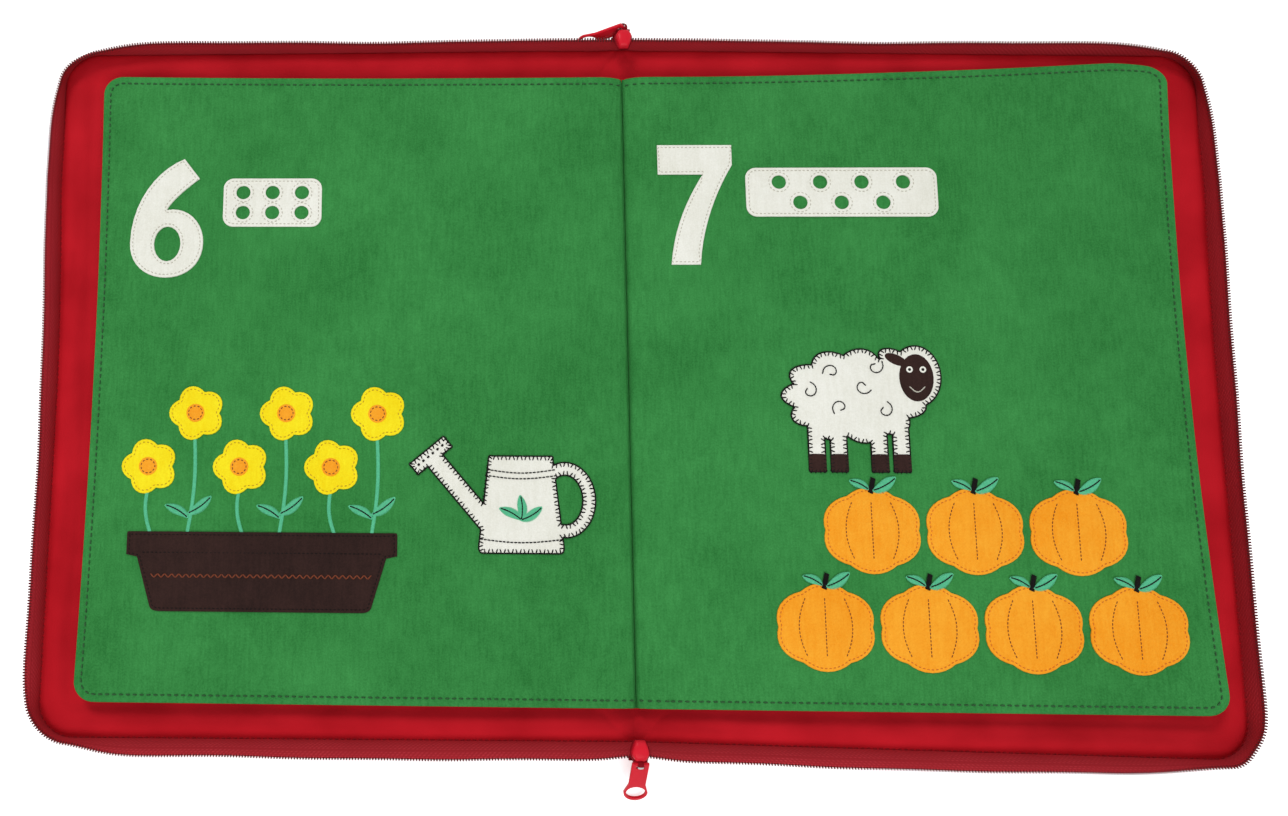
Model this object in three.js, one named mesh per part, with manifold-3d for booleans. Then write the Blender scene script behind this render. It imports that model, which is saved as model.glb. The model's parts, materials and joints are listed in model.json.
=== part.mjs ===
// Soft counting book: six felt leaves bound in a padded zip-round case, lying open and flat.
// Millimetres, +Z up. The origin is under the middle of the spine, +X runs to the right-hand pages,
// +Y to the head of the pages.
import * as THREE from "three";
import { mergeVertices } from "three/addons/utils/BufferGeometryUtils.js";
import Module from "manifold-3d";

const wasm = await Module();
wasm.setup();

// Leaves
const pageWidth = 250;
const pageHeight = 297;
const pageCornerRadius = 9.5;
const feltThickness = 1.25;
const leavesPerSide = 3;
const leafGap = 0.7;
const leafSeatGap = 0.6;
const leafTopToCrest = 1.5;

// Covers and spine
const shellThickness = 1;
const foamThickness = 1.7;
const liningThickness = 0.5;
const foreEdgeMargin = 22;
const headMargin = 16;
const caseCornerRadius = 35;
const foamInset = 3;
const creaseGap = 0.3;
const creaseSlack = 0.1;
const gutterClearance = 0.8;
const bindingThickness = 0.6;
const bindingInset = 1.5;
const bindingDrop = 0.2;

// Pieces that touch keep this gap
const touchGap = 0.3;

// Zip
const tapeThickness = 0.6;
const tapeInset = 0.5;
const coilReach = 3.8;
const coilRadius = 0.75;
const coilMeetingGap = 0.5;
const tapeTipAngle = THREE.MathUtils.degToRad(48);
const tapeFootHandleShare = 0.4;
const tapeTipHandleShare = 0.25;
const softTapeEnd = 36;
const beadSink = 0.2;

// Sliders
const sliderHalfWidth = 4.3;
const sliderSideGap = 0.5;
const sliderLength = 9.5;
const channelClearance = 0.65;
const neckClearance = 0.3;
const neckThickness = 1.25;
const neckHalfWidth = 3;
const plateThickness = 1.2;
const lowerPlateLap = 0.2;
const crownHalfWidth = 3.8;
const crownHeight = 3;
const crownBevel = 0.7;
const crownEndGap = 0.2;
const bailInnerRadius = 1.15;
const bailThickness = 0.8;
const bailWidth = 2.4;
const bailReach = 1.2;
const bailRise = 3;

// Pulls
const pullLength = 24;
const pullThickness = 1.2;
const pullNeckHalfWidth = 3.7;
const pullEndHalfWidth = 5.3;
const pullRoot = 0.7;
const pullSlotLength = 1.6;
const pullSlotHalfWidth = 1.8;
const pullHoleHalfWidth = 4.3;
const pullHoleHalfLength = 3.9;
const pullTipClearance = 0.9;

// Felt pieces on the open pages. Margins are measured in from a page's outer edge, head or tail.
const appliqueThickness = 0.8;
const numeralWidth = 35;
const numeralHeight = 59;
const sixOuterMargin = 15;
const sixHeadMargin = 41.5;
const sevenGutterMargin = 0.6;
const sevenHeadMargin = 35;
const tileHeight = 24;
const tileSixWidth = 47;
const tileSevenWidth = 89;
const tileSixGap = 9;
const tileSevenGap = 6;
const tileSixHeadMargin = 51.5;
const tileSevenHeadMargin = 46.5;
const tileCornerRadius = 5;
const dotRadius = 3.4;
const dotRowPitch = 10;
const dotColumnPitch = 14;
const planterOuterMargin = 20;
const planterTailMargin = 40.5;
const planterCanGap = 6;
const planterHeight = 36;
const planterRim = 2.5;
const flowerRadius = 13;
const flowerHighTailMargin = 131.5;
const flowerLowTailMargin = 106.5;
const flowerCount = 6;
const petals = 5;
const petalNotchShare = 0.2;
const canGutterMargin = 16;
const canTailMargin = 68;
const canHalfWidth = 20;
const canHalfHeight = 22;
const canSpoutLength = 42;
const canSpoutHalfWidth = 4.2;
const canRoseHalfWidth = 10;
const canRoseLength = 6;
const canHandleHalfWidth = 13.6;
const canHandleHalfHeight = 17;
const canHandleThickness = 5.5;
const pumpkinHalfWidth = 22.5;
const pumpkinHalfHeight = 19.5;
const pumpkinPitch = 45.5;
const pumpkinOuterMargin = 7.5;
const pumpkinLowTailMargin = 17;
const pumpkinRowPitch = 43;
const pumpkinLowCount = 4;
const pumpkinHighCount = 3;
const pumpkinRibs = 6;
const ribNotchShare = 0.08;
const sheepGutterMargin = 54;
const sheepTailMargin = 119;
const sheepHalfWidth = 33;
const sheepHalfHeight = 22;
const sheepLobes = 11;
const sheepNotchShare = 0.14;
const sheepLegHalfWidth = 3.6;
const sheepLegLength = 13;
const sheepHeadHalfWidth = 11;
const sheepHeadHalfHeight = 14;
const sheepEarHalfWidth = 8;
const sheepEarHalfHeight = 4.2;

// Counts of segments
const cornerSegments = 12;
const curveSegments = 10;
const tapeSteps = 6;
const coilSides = 8;
const roundSides = 24;
const lobeSteps = 8;

// Heights and folds that follow from the sizes above
const foldHeight = shellThickness + touchGap + foamThickness;
const liningLow = foldHeight + touchGap;
const liningTop = liningLow + liningThickness;
const leafThickness = feltThickness * 2 + touchGap;
const leafPitch = leafThickness + leafGap;
const lowestLeaf = liningTop + leafSeatGap;
const leafTop = lowestLeaf + leafPitch * leavesPerSide - leafGap;
const crestHeight = leafTop + leafTopToCrest;
const foldOffset = crestHeight - foldHeight;
const liningRise = liningTop - foldHeight;
const gutterInner = bindingThickness / 2 + touchGap;
const gutterOuter = foldOffset + liningRise + gutterClearance;
const panelInner = gutterOuter + touchGap;
const caseHalfWidth = pageWidth + foreEdgeMargin;
const caseHalfHeight = pageHeight / 2 + headMargin;
const coilHeight = crestHeight - coilMeetingGap / 2 - coilRadius;
const coilLine = caseHalfHeight + coilReach;
const tapeEnd = sliderHalfWidth + sliderSideGap;
const appliqueLow = leafTop + touchGap;
const appliqueTop = appliqueLow + appliqueThickness;
const pageHead = pageHeight / 2;
const pageTail = -pageHeight / 2;

// Centres of the felt pieces
const sixCentre = [
  sixOuterMargin - pageWidth + numeralWidth / 2,
  pageHead - sixHeadMargin - numeralHeight / 2,
];
const sevenCentre = [
  panelInner + sevenGutterMargin + numeralWidth / 2,
  pageHead - sevenHeadMargin - numeralHeight / 2,
];
const tileSixCentre = [
  sixCentre[0] + numeralWidth / 2 + tileSixGap + tileSixWidth / 2,
  pageHead - tileSixHeadMargin - tileHeight / 2,
];
const tileSevenCentre = [
  sevenCentre[0] + numeralWidth / 2 + tileSevenGap + tileSevenWidth / 2,
  pageHead - tileSevenHeadMargin - tileHeight / 2,
];
const canCentre = [-(panelInner + canGutterMargin + canHalfWidth), pageTail + canTailMargin + canHalfHeight];
const planterLeft = planterOuterMargin - pageWidth;
const planterRight = canCentre[0] - canHalfWidth - canSpoutLength + planterCanGap;
const planterHalfWidth = (planterRight - planterLeft) / 2;
const planterHalfHeight = planterHeight / 2;
const planterCentre = [(planterLeft + planterRight) / 2, pageTail + planterTailMargin + planterHalfHeight];
const flowerPitch = (planterHalfWidth - planterRim - flowerRadius / 2) / ((flowerCount - 1) / 2);
const pumpkinLast = pageWidth - pumpkinOuterMargin - pumpkinHalfWidth;
const pumpkinLowRow = pageTail + pumpkinLowTailMargin + pumpkinHalfHeight;
const sheepCentre = [
  panelInner + sheepGutterMargin + sheepHalfWidth,
  pageTail + sheepTailMargin + sheepHalfHeight,
];

function cloth(color, roughness = 0.95) {
  return new THREE.MeshStandardMaterial({ color, roughness, metalness: 0 });
}

const greenFelt = cloth(0x2a7d36);
const creamFelt = cloth(0xf0efe6);
const brownFelt = cloth(0x2e1b18);
const yellowFelt = cloth(0xffe600);
const orangeFelt = cloth(0xffa318);
const redCloth = cloth(0xb01822);
const redSatin = cloth(0xc81a28, 0.55);
const darkTape = cloth(0x8a1a20, 0.85);
const foamWhite = cloth(0xe8e4da);
const bindingGreen = cloth(0x17501f);
const coilNylon = new THREE.MeshStandardMaterial({ color: 0x5a0f14, roughness: 0.5, metalness: 0 });
const redPaint = new THREE.MeshStandardMaterial({ color: 0xdc2840, roughness: 0.3, metalness: 0.2 });

function mesh(name, geometry, material) {
  const made = new THREE.Mesh(geometry, material);
  made.name = name;
  return made;
}

// A flat piece with an outline, from one height to another.
function plate(shape, low, high) {
  const geometry = new THREE.ExtrudeGeometry(shape, {
    depth: high - low,
    bevelEnabled: false,
    curveSegments,
  });
  geometry.translate(0, 0, low);
  return geometry;
}

function box(x0, x1, y0, y1, z0, z1) {
  const geometry = new THREE.BoxGeometry(x1 - x0, y1 - y0, z1 - z0);
  geometry.translate((x0 + x1) / 2, (y0 + y1) / 2, (z0 + z1) / 2);
  return geometry;
}

// The same piece on the other side of the spine, with its faces still pointing out.
function acrossSpine(geometry) {
  const copy = geometry.index ? geometry.toNonIndexed() : geometry.clone();
  const position = copy.getAttribute("position");
  for (let i = 0; i < position.count; i += 3) {
    const [a, b, c] = [0, 1, 2].map((k) => new THREE.Vector3().fromBufferAttribute(position, i + k));
    position.setXYZ(i, -a.x, a.y, a.z);
    position.setXYZ(i + 1, -c.x, c.y, c.z);
    position.setXYZ(i + 2, -b.x, b.y, b.z);
  }
  copy.computeVertexNormals();
  return copy;
}

function onSide(side, geometry) {
  return side === "right" ? geometry : acrossSpine(geometry);
}

function solid(geometry) {
  const bare = geometry.clone();
  bare.deleteAttribute("normal");
  bare.deleteAttribute("uv");
  const merged = mergeVertices(bare);
  return new wasm.Manifold(
    new wasm.Mesh({
      numProp: 3,
      vertProperties: merged.getAttribute("position").array,
      triVerts: new Uint32Array(merged.index.array),
    }),
  );
}

function geometryOf(body) {
  const made = body.getMesh();
  const geometry = new THREE.BufferGeometry();
  geometry.setAttribute("position", new THREE.BufferAttribute(made.vertProperties, 3));
  geometry.setIndex(new THREE.BufferAttribute(made.triVerts, 1));
  geometry.computeVertexNormals();
  return geometry;
}

function joined(...geometries) {
  return geometryOf(geometries.map(solid).reduce((all, next) => all.add(next)));
}

// Half of the case or a page: straight at the spine side, round at the two outer corners.
function halfSheet(inner, outer, halfHeight, radius) {
  const shape = new THREE.Shape();
  shape.moveTo(inner, -halfHeight);
  shape.lineTo(outer - radius, -halfHeight);
  shape.absarc(outer - radius, radius - halfHeight, radius, -Math.PI / 2, 0);
  shape.lineTo(outer, halfHeight - radius);
  shape.absarc(outer - radius, halfHeight - radius, radius, 0, Math.PI / 2);
  shape.lineTo(inner, halfHeight);
  shape.closePath();
  return shape;
}

// The case edge from the head of the spine round to its tail, as points with their outward direction.
function caseEdge(inner) {
  const middle = [caseHalfWidth - caseCornerRadius, caseHalfHeight - caseCornerRadius];
  const stations = [[inner, caseHalfHeight, 0, 1]];
  for (const side of [1, -1]) {
    for (let i = 0; i <= cornerSegments; i += 1) {
      const turn = (i / cornerSegments) * (Math.PI / 2);
      const angle = side > 0 ? Math.PI / 2 - turn : -turn;
      const [out, up] = [Math.cos(angle), Math.sin(angle)];
      const x = middle[0] + caseCornerRadius * out;
      const y = side * middle[1] + caseCornerRadius * up;
      stations.push([x, y, out, up]);
    }
  }
  stations.push([inner, -caseHalfHeight, 0, -1]);
  return stations;
}

function straightEdge(inner, outer, side) {
  return [
    [side > 0 ? inner : outer, side * caseHalfHeight, 0, side],
    [side > 0 ? outer : inner, side * caseHalfHeight, 0, side],
  ];
}

// A closed band whose section, given as [reach, height] points, runs along the stations.
function band(stations, section) {
  const points = [];
  for (const [x, y, out, up] of stations) {
    for (const [reach, height] of section) {
      points.push(x + out * reach, y + up * reach, height);
    }
  }
  const n = section.length;
  const faces = [];
  for (let s = 0; s < stations.length - 1; s += 1) {
    for (let i = 0; i < n; i += 1) {
      const [a, b] = [s * n + i, s * n + ((i + 1) % n)];
      faces.push(a, b, a + n, b, b + n, a + n);
    }
  }
  const outline = section.map(([reach, height]) => new THREE.Vector2(reach, height));
  const last = (stations.length - 1) * n;
  for (const [a, b, c] of THREE.ShapeUtils.triangulateShape(outline, [])) {
    faces.push(a, c, b);
    faces.push(last + a, last + b, last + c);
  }
  const geometry = new THREE.BufferGeometry();
  geometry.setAttribute("position", new THREE.Float32BufferAttribute(points, 3));
  geometry.setIndex(faces);
  geometry.computeVertexNormals();
  return geometry;
}

// Section of the standing tape: up from the lining's edge, leaning out to the coil.
function tapeSection() {
  const tip = [
    coilReach - (coilRadius + touchGap) * Math.cos(tapeTipAngle),
    coilHeight - (coilRadius + touchGap) * Math.sin(tapeTipAngle),
  ];
  const foot = [-tapeInset, liningTop + touchGap];
  const rise = tip[1] - foot[1];
  const curve = new THREE.CubicBezierCurve(
    new THREE.Vector2(...foot),
    new THREE.Vector2(foot[0], foot[1] + rise * tapeFootHandleShare),
    new THREE.Vector2(
      tip[0] - rise * tapeTipHandleShare * Math.cos(tapeTipAngle),
      tip[1] - rise * tapeTipHandleShare * Math.sin(tapeTipAngle),
    ),
    new THREE.Vector2(...tip),
  );
  const outer = [];
  const inner = [];
  for (let i = 0; i <= tapeSteps; i += 1) {
    const p = curve.getPoint(i / tapeSteps);
    const t = curve.getTangent(i / tapeSteps);
    outer.push([p.x + (t.y * tapeThickness) / 2, p.y - (t.x * tapeThickness) / 2]);
    inner.push([p.x - (t.y * tapeThickness) / 2, p.y + (t.x * tapeThickness) / 2]);
  }
  return [...outer, ...inner.reverse()];
}

// The row of teeth along the tape, as one round bead. sink moves it into the tape's edge.
function coilSection(sink) {
  const [reach, height] = [
    coilReach - sink * Math.cos(tapeTipAngle),
    coilHeight - sink * Math.sin(tapeTipAngle),
  ];
  return Array.from({ length: coilSides }, (_, i) => {
    const angle = ((i + 0.5) / coilSides) * Math.PI * 2;
    return [reach + coilRadius * Math.cos(angle), height + coilRadius * Math.sin(angle)];
  });
}

function softEnd(side) {
  const stations = straightEdge(tapeEnd, softTapeEnd - touchGap, side);
  return joined(band(stations, tapeSection()), band(stations, coilSection(touchGap + beadSink)));
}

function coverPieces(name, side, tapeSide) {
  const group = new THREE.Group();
  const half = (inner, inset) =>
    halfSheet(inner, caseHalfWidth - inset, caseHalfHeight - inset, caseCornerRadius - inset);
  const shell = plate(half(foldOffset + creaseGap / 2, 0), 0, shellThickness);
  const foam = plate(half(foldOffset + creaseGap, foamInset), shellThickness + touchGap, foldHeight);
  const lining = plate(half(foldOffset + liningRise + creaseSlack, 0), liningLow, liningTop);
  group.add(mesh(`${name}_cover_shell`, onSide(side, shell), redCloth));
  group.add(mesh(`${name}_cover_foam`, onSide(side, foam), foamWhite));
  group.add(mesh(`${name}_cover_lining`, onSide(side, lining), redSatin));
  group.add(mesh(`${name}_zip_tape`, onSide(side, band(caseEdge(softTapeEnd), tapeSection())), darkTape));
  group.add(mesh(`${name}_zip_coil`, onSide(side, band(caseEdge(softTapeEnd), coilSection(0))), coilNylon));
  group.add(mesh(`upper_${tapeSide}_tape_end`, onSide(side, softEnd(1)), darkTape));
  group.add(mesh(`lower_${tapeSide}_tape_end`, onSide(side, softEnd(-1)), darkTape));
  return group;
}

function spinePieces() {
  const group = new THREE.Group();
  const strip = (halfWidth, inset, low, high) =>
    box(-halfWidth, halfWidth, inset - caseHalfHeight, caseHalfHeight - inset, low, high);
  const shell = strip(foldOffset - creaseGap / 2, 0, 0, shellThickness);
  const foam = strip(foldOffset - creaseGap, foamInset, shellThickness + touchGap, foldHeight);
  const lining = strip(foldOffset - liningRise - creaseSlack, 0, liningLow, liningTop);
  const webHalf = pageHeight / 2 - bindingInset;
  const webSide = bindingThickness / 2;
  const web = box(-webSide, webSide, -webHalf, webHalf, liningTop + touchGap, leafTop - bindingDrop);
  group.add(mesh("spine_shell", shell, redCloth));
  group.add(mesh("spine_foam", foam, foamWhite));
  group.add(mesh("spine_lining", lining, redSatin));
  group.add(mesh("binding_strip", web, bindingGreen));
  return group;
}

// One leaf: two felt sheets, and the soft margin that is sewn in at the spine.
function leafPieces(leaf, side, level, lowerPage, upperPage) {
  const group = new THREE.Group();
  const low = lowestLeaf + level * leafPitch;
  const sheet = halfSheet(panelInner, pageWidth, pageHeight / 2, pageCornerRadius);
  const margin = halfSheet(gutterInner, gutterOuter, pageHeight / 2, 0);
  const lower = plate(sheet, low, low + feltThickness);
  const upper = plate(sheet, low + feltThickness + touchGap, low + leafThickness);
  group.add(mesh(`page_${lowerPage}_felt`, onSide(side, lower), greenFelt));
  group.add(mesh(`page_${upperPage}_felt`, onSide(side, upper), greenFelt));
  group.add(mesh(`leaf_${leaf}_gutter`, onSide(side, plate(margin, low, low + leafThickness)), greenFelt));
  return group;
}

function leaves() {
  const group = new THREE.Group();
  for (let level = 0; level < leavesPerSide; level += 1) {
    const left = level + 1;
    const right = leavesPerSide * 2 - level;
    group.add(leafPieces(left, "left", level, left * 2 - 1, left * 2));
    group.add(leafPieces(right, "right", level, right * 2, right * 2 - 1));
  }
  return group;
}

// Slider, lying with its channel along X round the coil line, its neck towards +Y and its crown up.
const channelHalf = coilRadius + channelClearance;
const plateTop = channelHalf + plateThickness;
const neckOuter = coilRadius + neckClearance + neckThickness;
const crownEnd = neckOuter - crownEndGap;
const pivot = [0, neckOuter + bailReach, bailRise];
const pivotHeight = coilHeight + bailRise;

const crownShares = [[0.58, 0], [0.86, 0.3], [1, 0.58], [0.86, 0.78], [0.5, 1]];

function crown() {
  const length = crownEnd - (neckOuter - sliderLength) - crownEndGap;
  const right = crownShares.map(([w, l]) => [w * (crownHalfWidth - crownBevel), crownEnd - length * (1 - l)]);
  const left = right.map(([x, y]) => [-x, y]).reverse();
  const shape = new THREE.Shape([...right, ...left].map(([x, y]) => new THREE.Vector2(x, y)));
  const geometry = new THREE.ExtrudeGeometry(shape, {
    depth: crownHeight,
    bevelThickness: crownBevel,
    bevelSize: crownBevel,
    bevelSegments: 2,
    curveSegments,
  });
  geometry.translate(0, -crownBevel / 2, plateTop - crownBevel);
  return geometry;
}

function ring(outerRadius, innerRadius, width) {
  const shape = new THREE.Shape();
  shape.absarc(0, 0, outerRadius, 0, Math.PI * 2);
  const hole = new THREE.Path();
  hole.absarc(0, 0, innerRadius, 0, Math.PI * 2, true);
  shape.holes.push(hole);
  const geometry = plate(shape, -width / 2, width / 2);
  geometry.rotateY(Math.PI / 2);
  return geometry;
}

function sliderBody(lean) {
  const top = box(
    -sliderHalfWidth, sliderHalfWidth, neckOuter - sliderLength, neckOuter, channelHalf, plateTop,
  );
  const bottom = box(-sliderHalfWidth, sliderHalfWidth, -lowerPlateLap, neckOuter, -plateTop, -channelHalf);
  const neck = box(-neckHalfWidth, neckHalfWidth, neckOuter - neckThickness, neckOuter, -plateTop, plateTop);
  const bail = ring(bailInnerRadius + bailThickness, bailInnerRadius, bailWidth);
  bail.rotateY(lean);
  bail.translate(...pivot);
  return joined(top, bottom, neck, crown(), bail);
}

// Pull, flat, from its pivot at the origin towards +Y: slot for the bail, neck, and an end with an oval hole.
function pullPlate() {
  const endCentre = pullLength - pullEndHalfWidth;
  const neckEnd = endCentre - pullEndHalfWidth;
  const flareX = (pullNeckHalfWidth + pullEndHalfWidth) / 2;
  const flareY = endCentre - pullEndHalfWidth / 2;
  const shape = new THREE.Shape();
  shape.moveTo(-pullNeckHalfWidth, -pullRoot);
  shape.lineTo(pullNeckHalfWidth, -pullRoot);
  shape.lineTo(pullNeckHalfWidth, neckEnd);
  shape.quadraticCurveTo(flareX, flareY, pullEndHalfWidth, endCentre);
  shape.absarc(0, endCentre, pullEndHalfWidth, 0, Math.PI);
  shape.quadraticCurveTo(-flareX, flareY, -pullNeckHalfWidth, neckEnd);
  shape.closePath();
  const slot = new THREE.Path();
  slot.moveTo(-pullSlotHalfWidth, pullRoot);
  slot.lineTo(-pullSlotHalfWidth, pullRoot + pullSlotLength);
  slot.lineTo(pullSlotHalfWidth, pullRoot + pullSlotLength);
  slot.lineTo(pullSlotHalfWidth, pullRoot);
  slot.closePath();
  const hole = new THREE.Path();
  hole.absellipse(0, endCentre, pullHoleHalfWidth, pullHoleHalfLength, 0, Math.PI * 2, true);
  shape.holes.push(slot, hole);
  return plate(shape, -pullThickness / 2, pullThickness / 2);
}

// The lower pull leans out until its tip is at the table. The upper one hangs down behind the case,
// swung sideways until it fits in that height.
const lowerPullAngle = Math.asin(Math.min(1, (pivotHeight - pullTipClearance) / pullLength));
const upperPullRoom = pivotHeight - pullTipClearance - pullEndHalfWidth;
const upperPullLean = Math.acos(Math.min(1, upperPullRoom / (pullLength - pullEndHalfWidth)));

function zipSliders() {
  const upper = new THREE.Group();
  upper.position.set(0, coilLine, coilHeight);
  const upperPull = pullPlate();
  upperPull.rotateX(-Math.PI / 2);
  upperPull.rotateY(upperPullLean);
  upperPull.translate(...pivot);
  upper.add(mesh("upper_slider", sliderBody(upperPullLean), redPaint));
  upper.add(mesh("upper_pull", upperPull, redPaint));
  const lower = new THREE.Group();
  lower.position.set(0, -coilLine, coilHeight);
  lower.rotation.z = Math.PI;
  const lowerPull = pullPlate();
  lowerPull.rotateX(-lowerPullAngle);
  lowerPull.translate(...pivot);
  lower.add(mesh("lower_slider", sliderBody(0), redPaint));
  lower.add(mesh("lower_pull", lowerPull, redPaint));
  const group = new THREE.Group();
  group.add(upper, lower);
  return group;
}

// Outlines of the felt pieces. Points are shares of half the width and half the height.
const sixShares = [
  ["move", -1, -0.42],
  ["curve", -1, 0.27, -0.35, 0.81, 0.41, 1],
  ["line", 0.85, 0.66],
  ["curve", 0.41, 0.47, 0.09, 0.27, -0.03, 0.13],
  ["curve", 0.53, 0.2, 1, -0.07, 1, -0.42],
  ["curve", 1, -0.78, 0.56, -1, 0, -1],
  ["curve", -0.56, -1, -1, -0.78, -1, -0.42],
];
const sixHoleShare = [0.02, -0.44, 0.36, 0.29];
const sevenShares = [
  ["move", -1, 1],
  ["line", 1, 1],
  ["line", 1, 0.66],
  ["curve", 0.55, 0.22, 0.15, -0.38, 0.08, -1],
  ["line", -0.7, -1],
  ["curve", -0.6, -0.36, -0.2, 0.12, 0.2, 0.5],
  ["line", -1, 0.5],
];
const planterShares = [
  ["move", -0.97, 1],
  ["line", 0.97, 1],
  ["curve", 1, 1, 1, 1, 1, 0.9],
  ["line", 1, 0.42],
  ["line", 0.92, 0.36],
  ["line", 0.82, -0.8],
  ["curve", 0.81, -0.96, 0.79, -1, 0.72, -1],
  ["line", -0.72, -1],
  ["curve", -0.79, -1, -0.81, -0.96, -0.82, -0.8],
  ["line", -0.92, 0.36],
  ["line", -1, 0.42],
  ["line", -1, 0.9],
  ["curve", -1, 1, -1, 1, -0.97, 1],
];
const canShares = [
  ["move", -0.72, 1],
  ["line", 0.72, 1],
  ["line", 0.95, -0.85],
  ["curve", 0.96, -1, 0.9, -1, 0.8, -1],
  ["line", -0.8, -1],
  ["curve", -0.9, -1, -0.96, -1, -0.95, -0.85],
];
const canSpoutRootShare = [-0.7, -0.45];
const canSpoutAngle = THREE.MathUtils.degToRad(130);
const canHandleShare = [1, 0.1];
const sheepLegShares = [-0.55, -0.25, 0.3, 0.6];
const sheepLegTopShare = -0.5;
const sheepHeadShare = [0.86, 0.42];
const sheepEarShare = [-0.8, 0.55];
const sheepEarAngle = THREE.MathUtils.degToRad(-25);

function outline(shares, centre, halfWidth, halfHeight) {
  const at = (pairs) => pairs.map((v, i) => (i % 2 ? centre[1] + v * halfHeight : centre[0] + v * halfWidth));
  const shape = new THREE.Shape();
  for (const [kind, ...pairs] of shares) {
    if (kind === "move") shape.moveTo(...at(pairs));
    if (kind === "line") shape.lineTo(...at(pairs));
    if (kind === "curve") shape.bezierCurveTo(...at(pairs));
  }
  const points = shape.getPoints(curveSegments);
  if (points[0].distanceTo(points[points.length - 1]) < touchGap) points.pop();
  if (THREE.ShapeUtils.isClockWise(points)) points.reverse();
  return new THREE.Shape(points);
}

// A round outline with lobes: depth is the share of the radius that the notches cut in.
function lobed(centre, halfWidth, halfHeight, lobes, depthShare) {
  const count = lobes * lobeSteps;
  const points = Array.from({ length: count }, (_, i) => {
    const angle = (i / count) * Math.PI * 2;
    const swell = 1 - depthShare * (1 - Math.abs(Math.sin((angle * lobes) / 2)));
    const x = centre[0] + halfWidth * swell * Math.cos(angle);
    const y = centre[1] + halfHeight * swell * Math.sin(angle);
    return new THREE.Vector2(x, y);
  });
  return new THREE.Shape(points);
}

function oval(centre, halfWidth, halfHeight, angle = 0) {
  const shape = new THREE.Shape();
  shape.absellipse(centre[0], centre[1], halfWidth, halfHeight, 0, Math.PI * 2, false, angle);
  return new THREE.Shape(shape.getPoints(roundSides));
}

function tilted(centre, length, halfWidth, angle) {
  const along = new THREE.Vector2(Math.cos(angle), Math.sin(angle)).multiplyScalar(length);
  const across = new THREE.Vector2(-Math.sin(angle), Math.cos(angle)).multiplyScalar(halfWidth);
  const start = new THREE.Vector2(...centre);
  const end = start.clone().add(along);
  const corners = [start.clone().add(across), start.clone().sub(across)];
  corners.push(end.clone().sub(across), end.clone().add(across));
  return new THREE.Shape(corners);
}

const felt = (shape) => plate(shape, appliqueLow, appliqueTop);

function numeralSix() {
  const halfWidth = numeralWidth / 2;
  const halfHeight = numeralHeight / 2;
  const shape = outline(sixShares, sixCentre, halfWidth, halfHeight);
  const hole = new THREE.Path();
  const [x, y, w, h] = sixHoleShare;
  hole.absellipse(
    sixCentre[0] + x * halfWidth, sixCentre[1] + y * halfHeight, w * halfWidth, h * halfHeight,
    0, Math.PI * 2, true,
  );
  shape.holes.push(hole);
  return felt(shape);
}

function tile(centre, width, rows) {
  const [halfWidth, halfHeight] = [width / 2, tileHeight / 2];
  const [dx, dy] = [halfWidth - tileCornerRadius, halfHeight - tileCornerRadius];
  const shape = new THREE.Shape();
  shape.absarc(centre[0] + dx, centre[1] - dy, tileCornerRadius, -Math.PI / 2, 0);
  shape.absarc(centre[0] + dx, centre[1] + dy, tileCornerRadius, 0, Math.PI / 2);
  shape.absarc(centre[0] - dx, centre[1] + dy, tileCornerRadius, Math.PI / 2, Math.PI);
  shape.absarc(centre[0] - dx, centre[1] - dy, tileCornerRadius, Math.PI, Math.PI * 1.5);
  rows.forEach((count, row) => {
    for (let i = 0; i < count; i += 1) {
      const pitch = (width - tileHeight / 2) / Math.max(...rows);
      const x = centre[0] + (i - (count - 1) / 2) * Math.max(pitch, dotColumnPitch);
      const hole = new THREE.Path();
      hole.absarc(x, centre[1] + (0.5 - row) * dotRowPitch, dotRadius, 0, Math.PI * 2, true);
      shape.holes.push(hole);
    }
  });
  return felt(shape);
}

function wateringCan() {
  const at = ([x, y]) => [canCentre[0] + x * canHalfWidth, canCentre[1] + y * canHalfHeight];
  const root = at(canSpoutRootShare);
  const tip = [
    root[0] + (canSpoutLength - canRoseLength / 2) * Math.cos(canSpoutAngle),
    root[1] + (canSpoutLength - canRoseLength / 2) * Math.sin(canSpoutAngle),
  ];
  const hub = at(canHandleShare);
  const handle = oval(hub, canHandleHalfWidth, canHandleHalfHeight);
  const inner = oval(hub, canHandleHalfWidth - canHandleThickness, canHandleHalfHeight - canHandleThickness);
  handle.holes.push(new THREE.Path(inner.getPoints().reverse()));
  return joined(
    felt(outline(canShares, canCentre, canHalfWidth, canHalfHeight)),
    felt(tilted(root, canSpoutLength, canSpoutHalfWidth, canSpoutAngle)),
    felt(tilted(tip, canRoseLength, canRoseHalfWidth, canSpoutAngle)),
    felt(handle),
  );
}

function sheep() {
  const at = ([x, y]) => [sheepCentre[0] + x * sheepHalfWidth, sheepCentre[1] + y * sheepHalfHeight];
  const head = at(sheepHeadShare);
  const [earOut, earUp] = sheepEarShare;
  const ear = [head[0] + earOut * sheepHeadHalfWidth, head[1] + earUp * sheepHeadHalfHeight];
  const legs = sheepLegShares.map((share) => {
    const [x, y] = at([share, sheepLegTopShare]);
    return felt(tilted([x, y], sheepHalfHeight / 2 + sheepLegLength, sheepLegHalfWidth, -Math.PI / 2));
  });
  return joined(
    felt(lobed(sheepCentre, sheepHalfWidth, sheepHalfHeight, sheepLobes, sheepNotchShare)),
    ...legs,
    felt(oval(head, sheepHeadHalfWidth, sheepHeadHalfHeight)),
    felt(oval(ear, sheepEarHalfWidth, sheepEarHalfHeight, sheepEarAngle)),
  );
}

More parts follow.
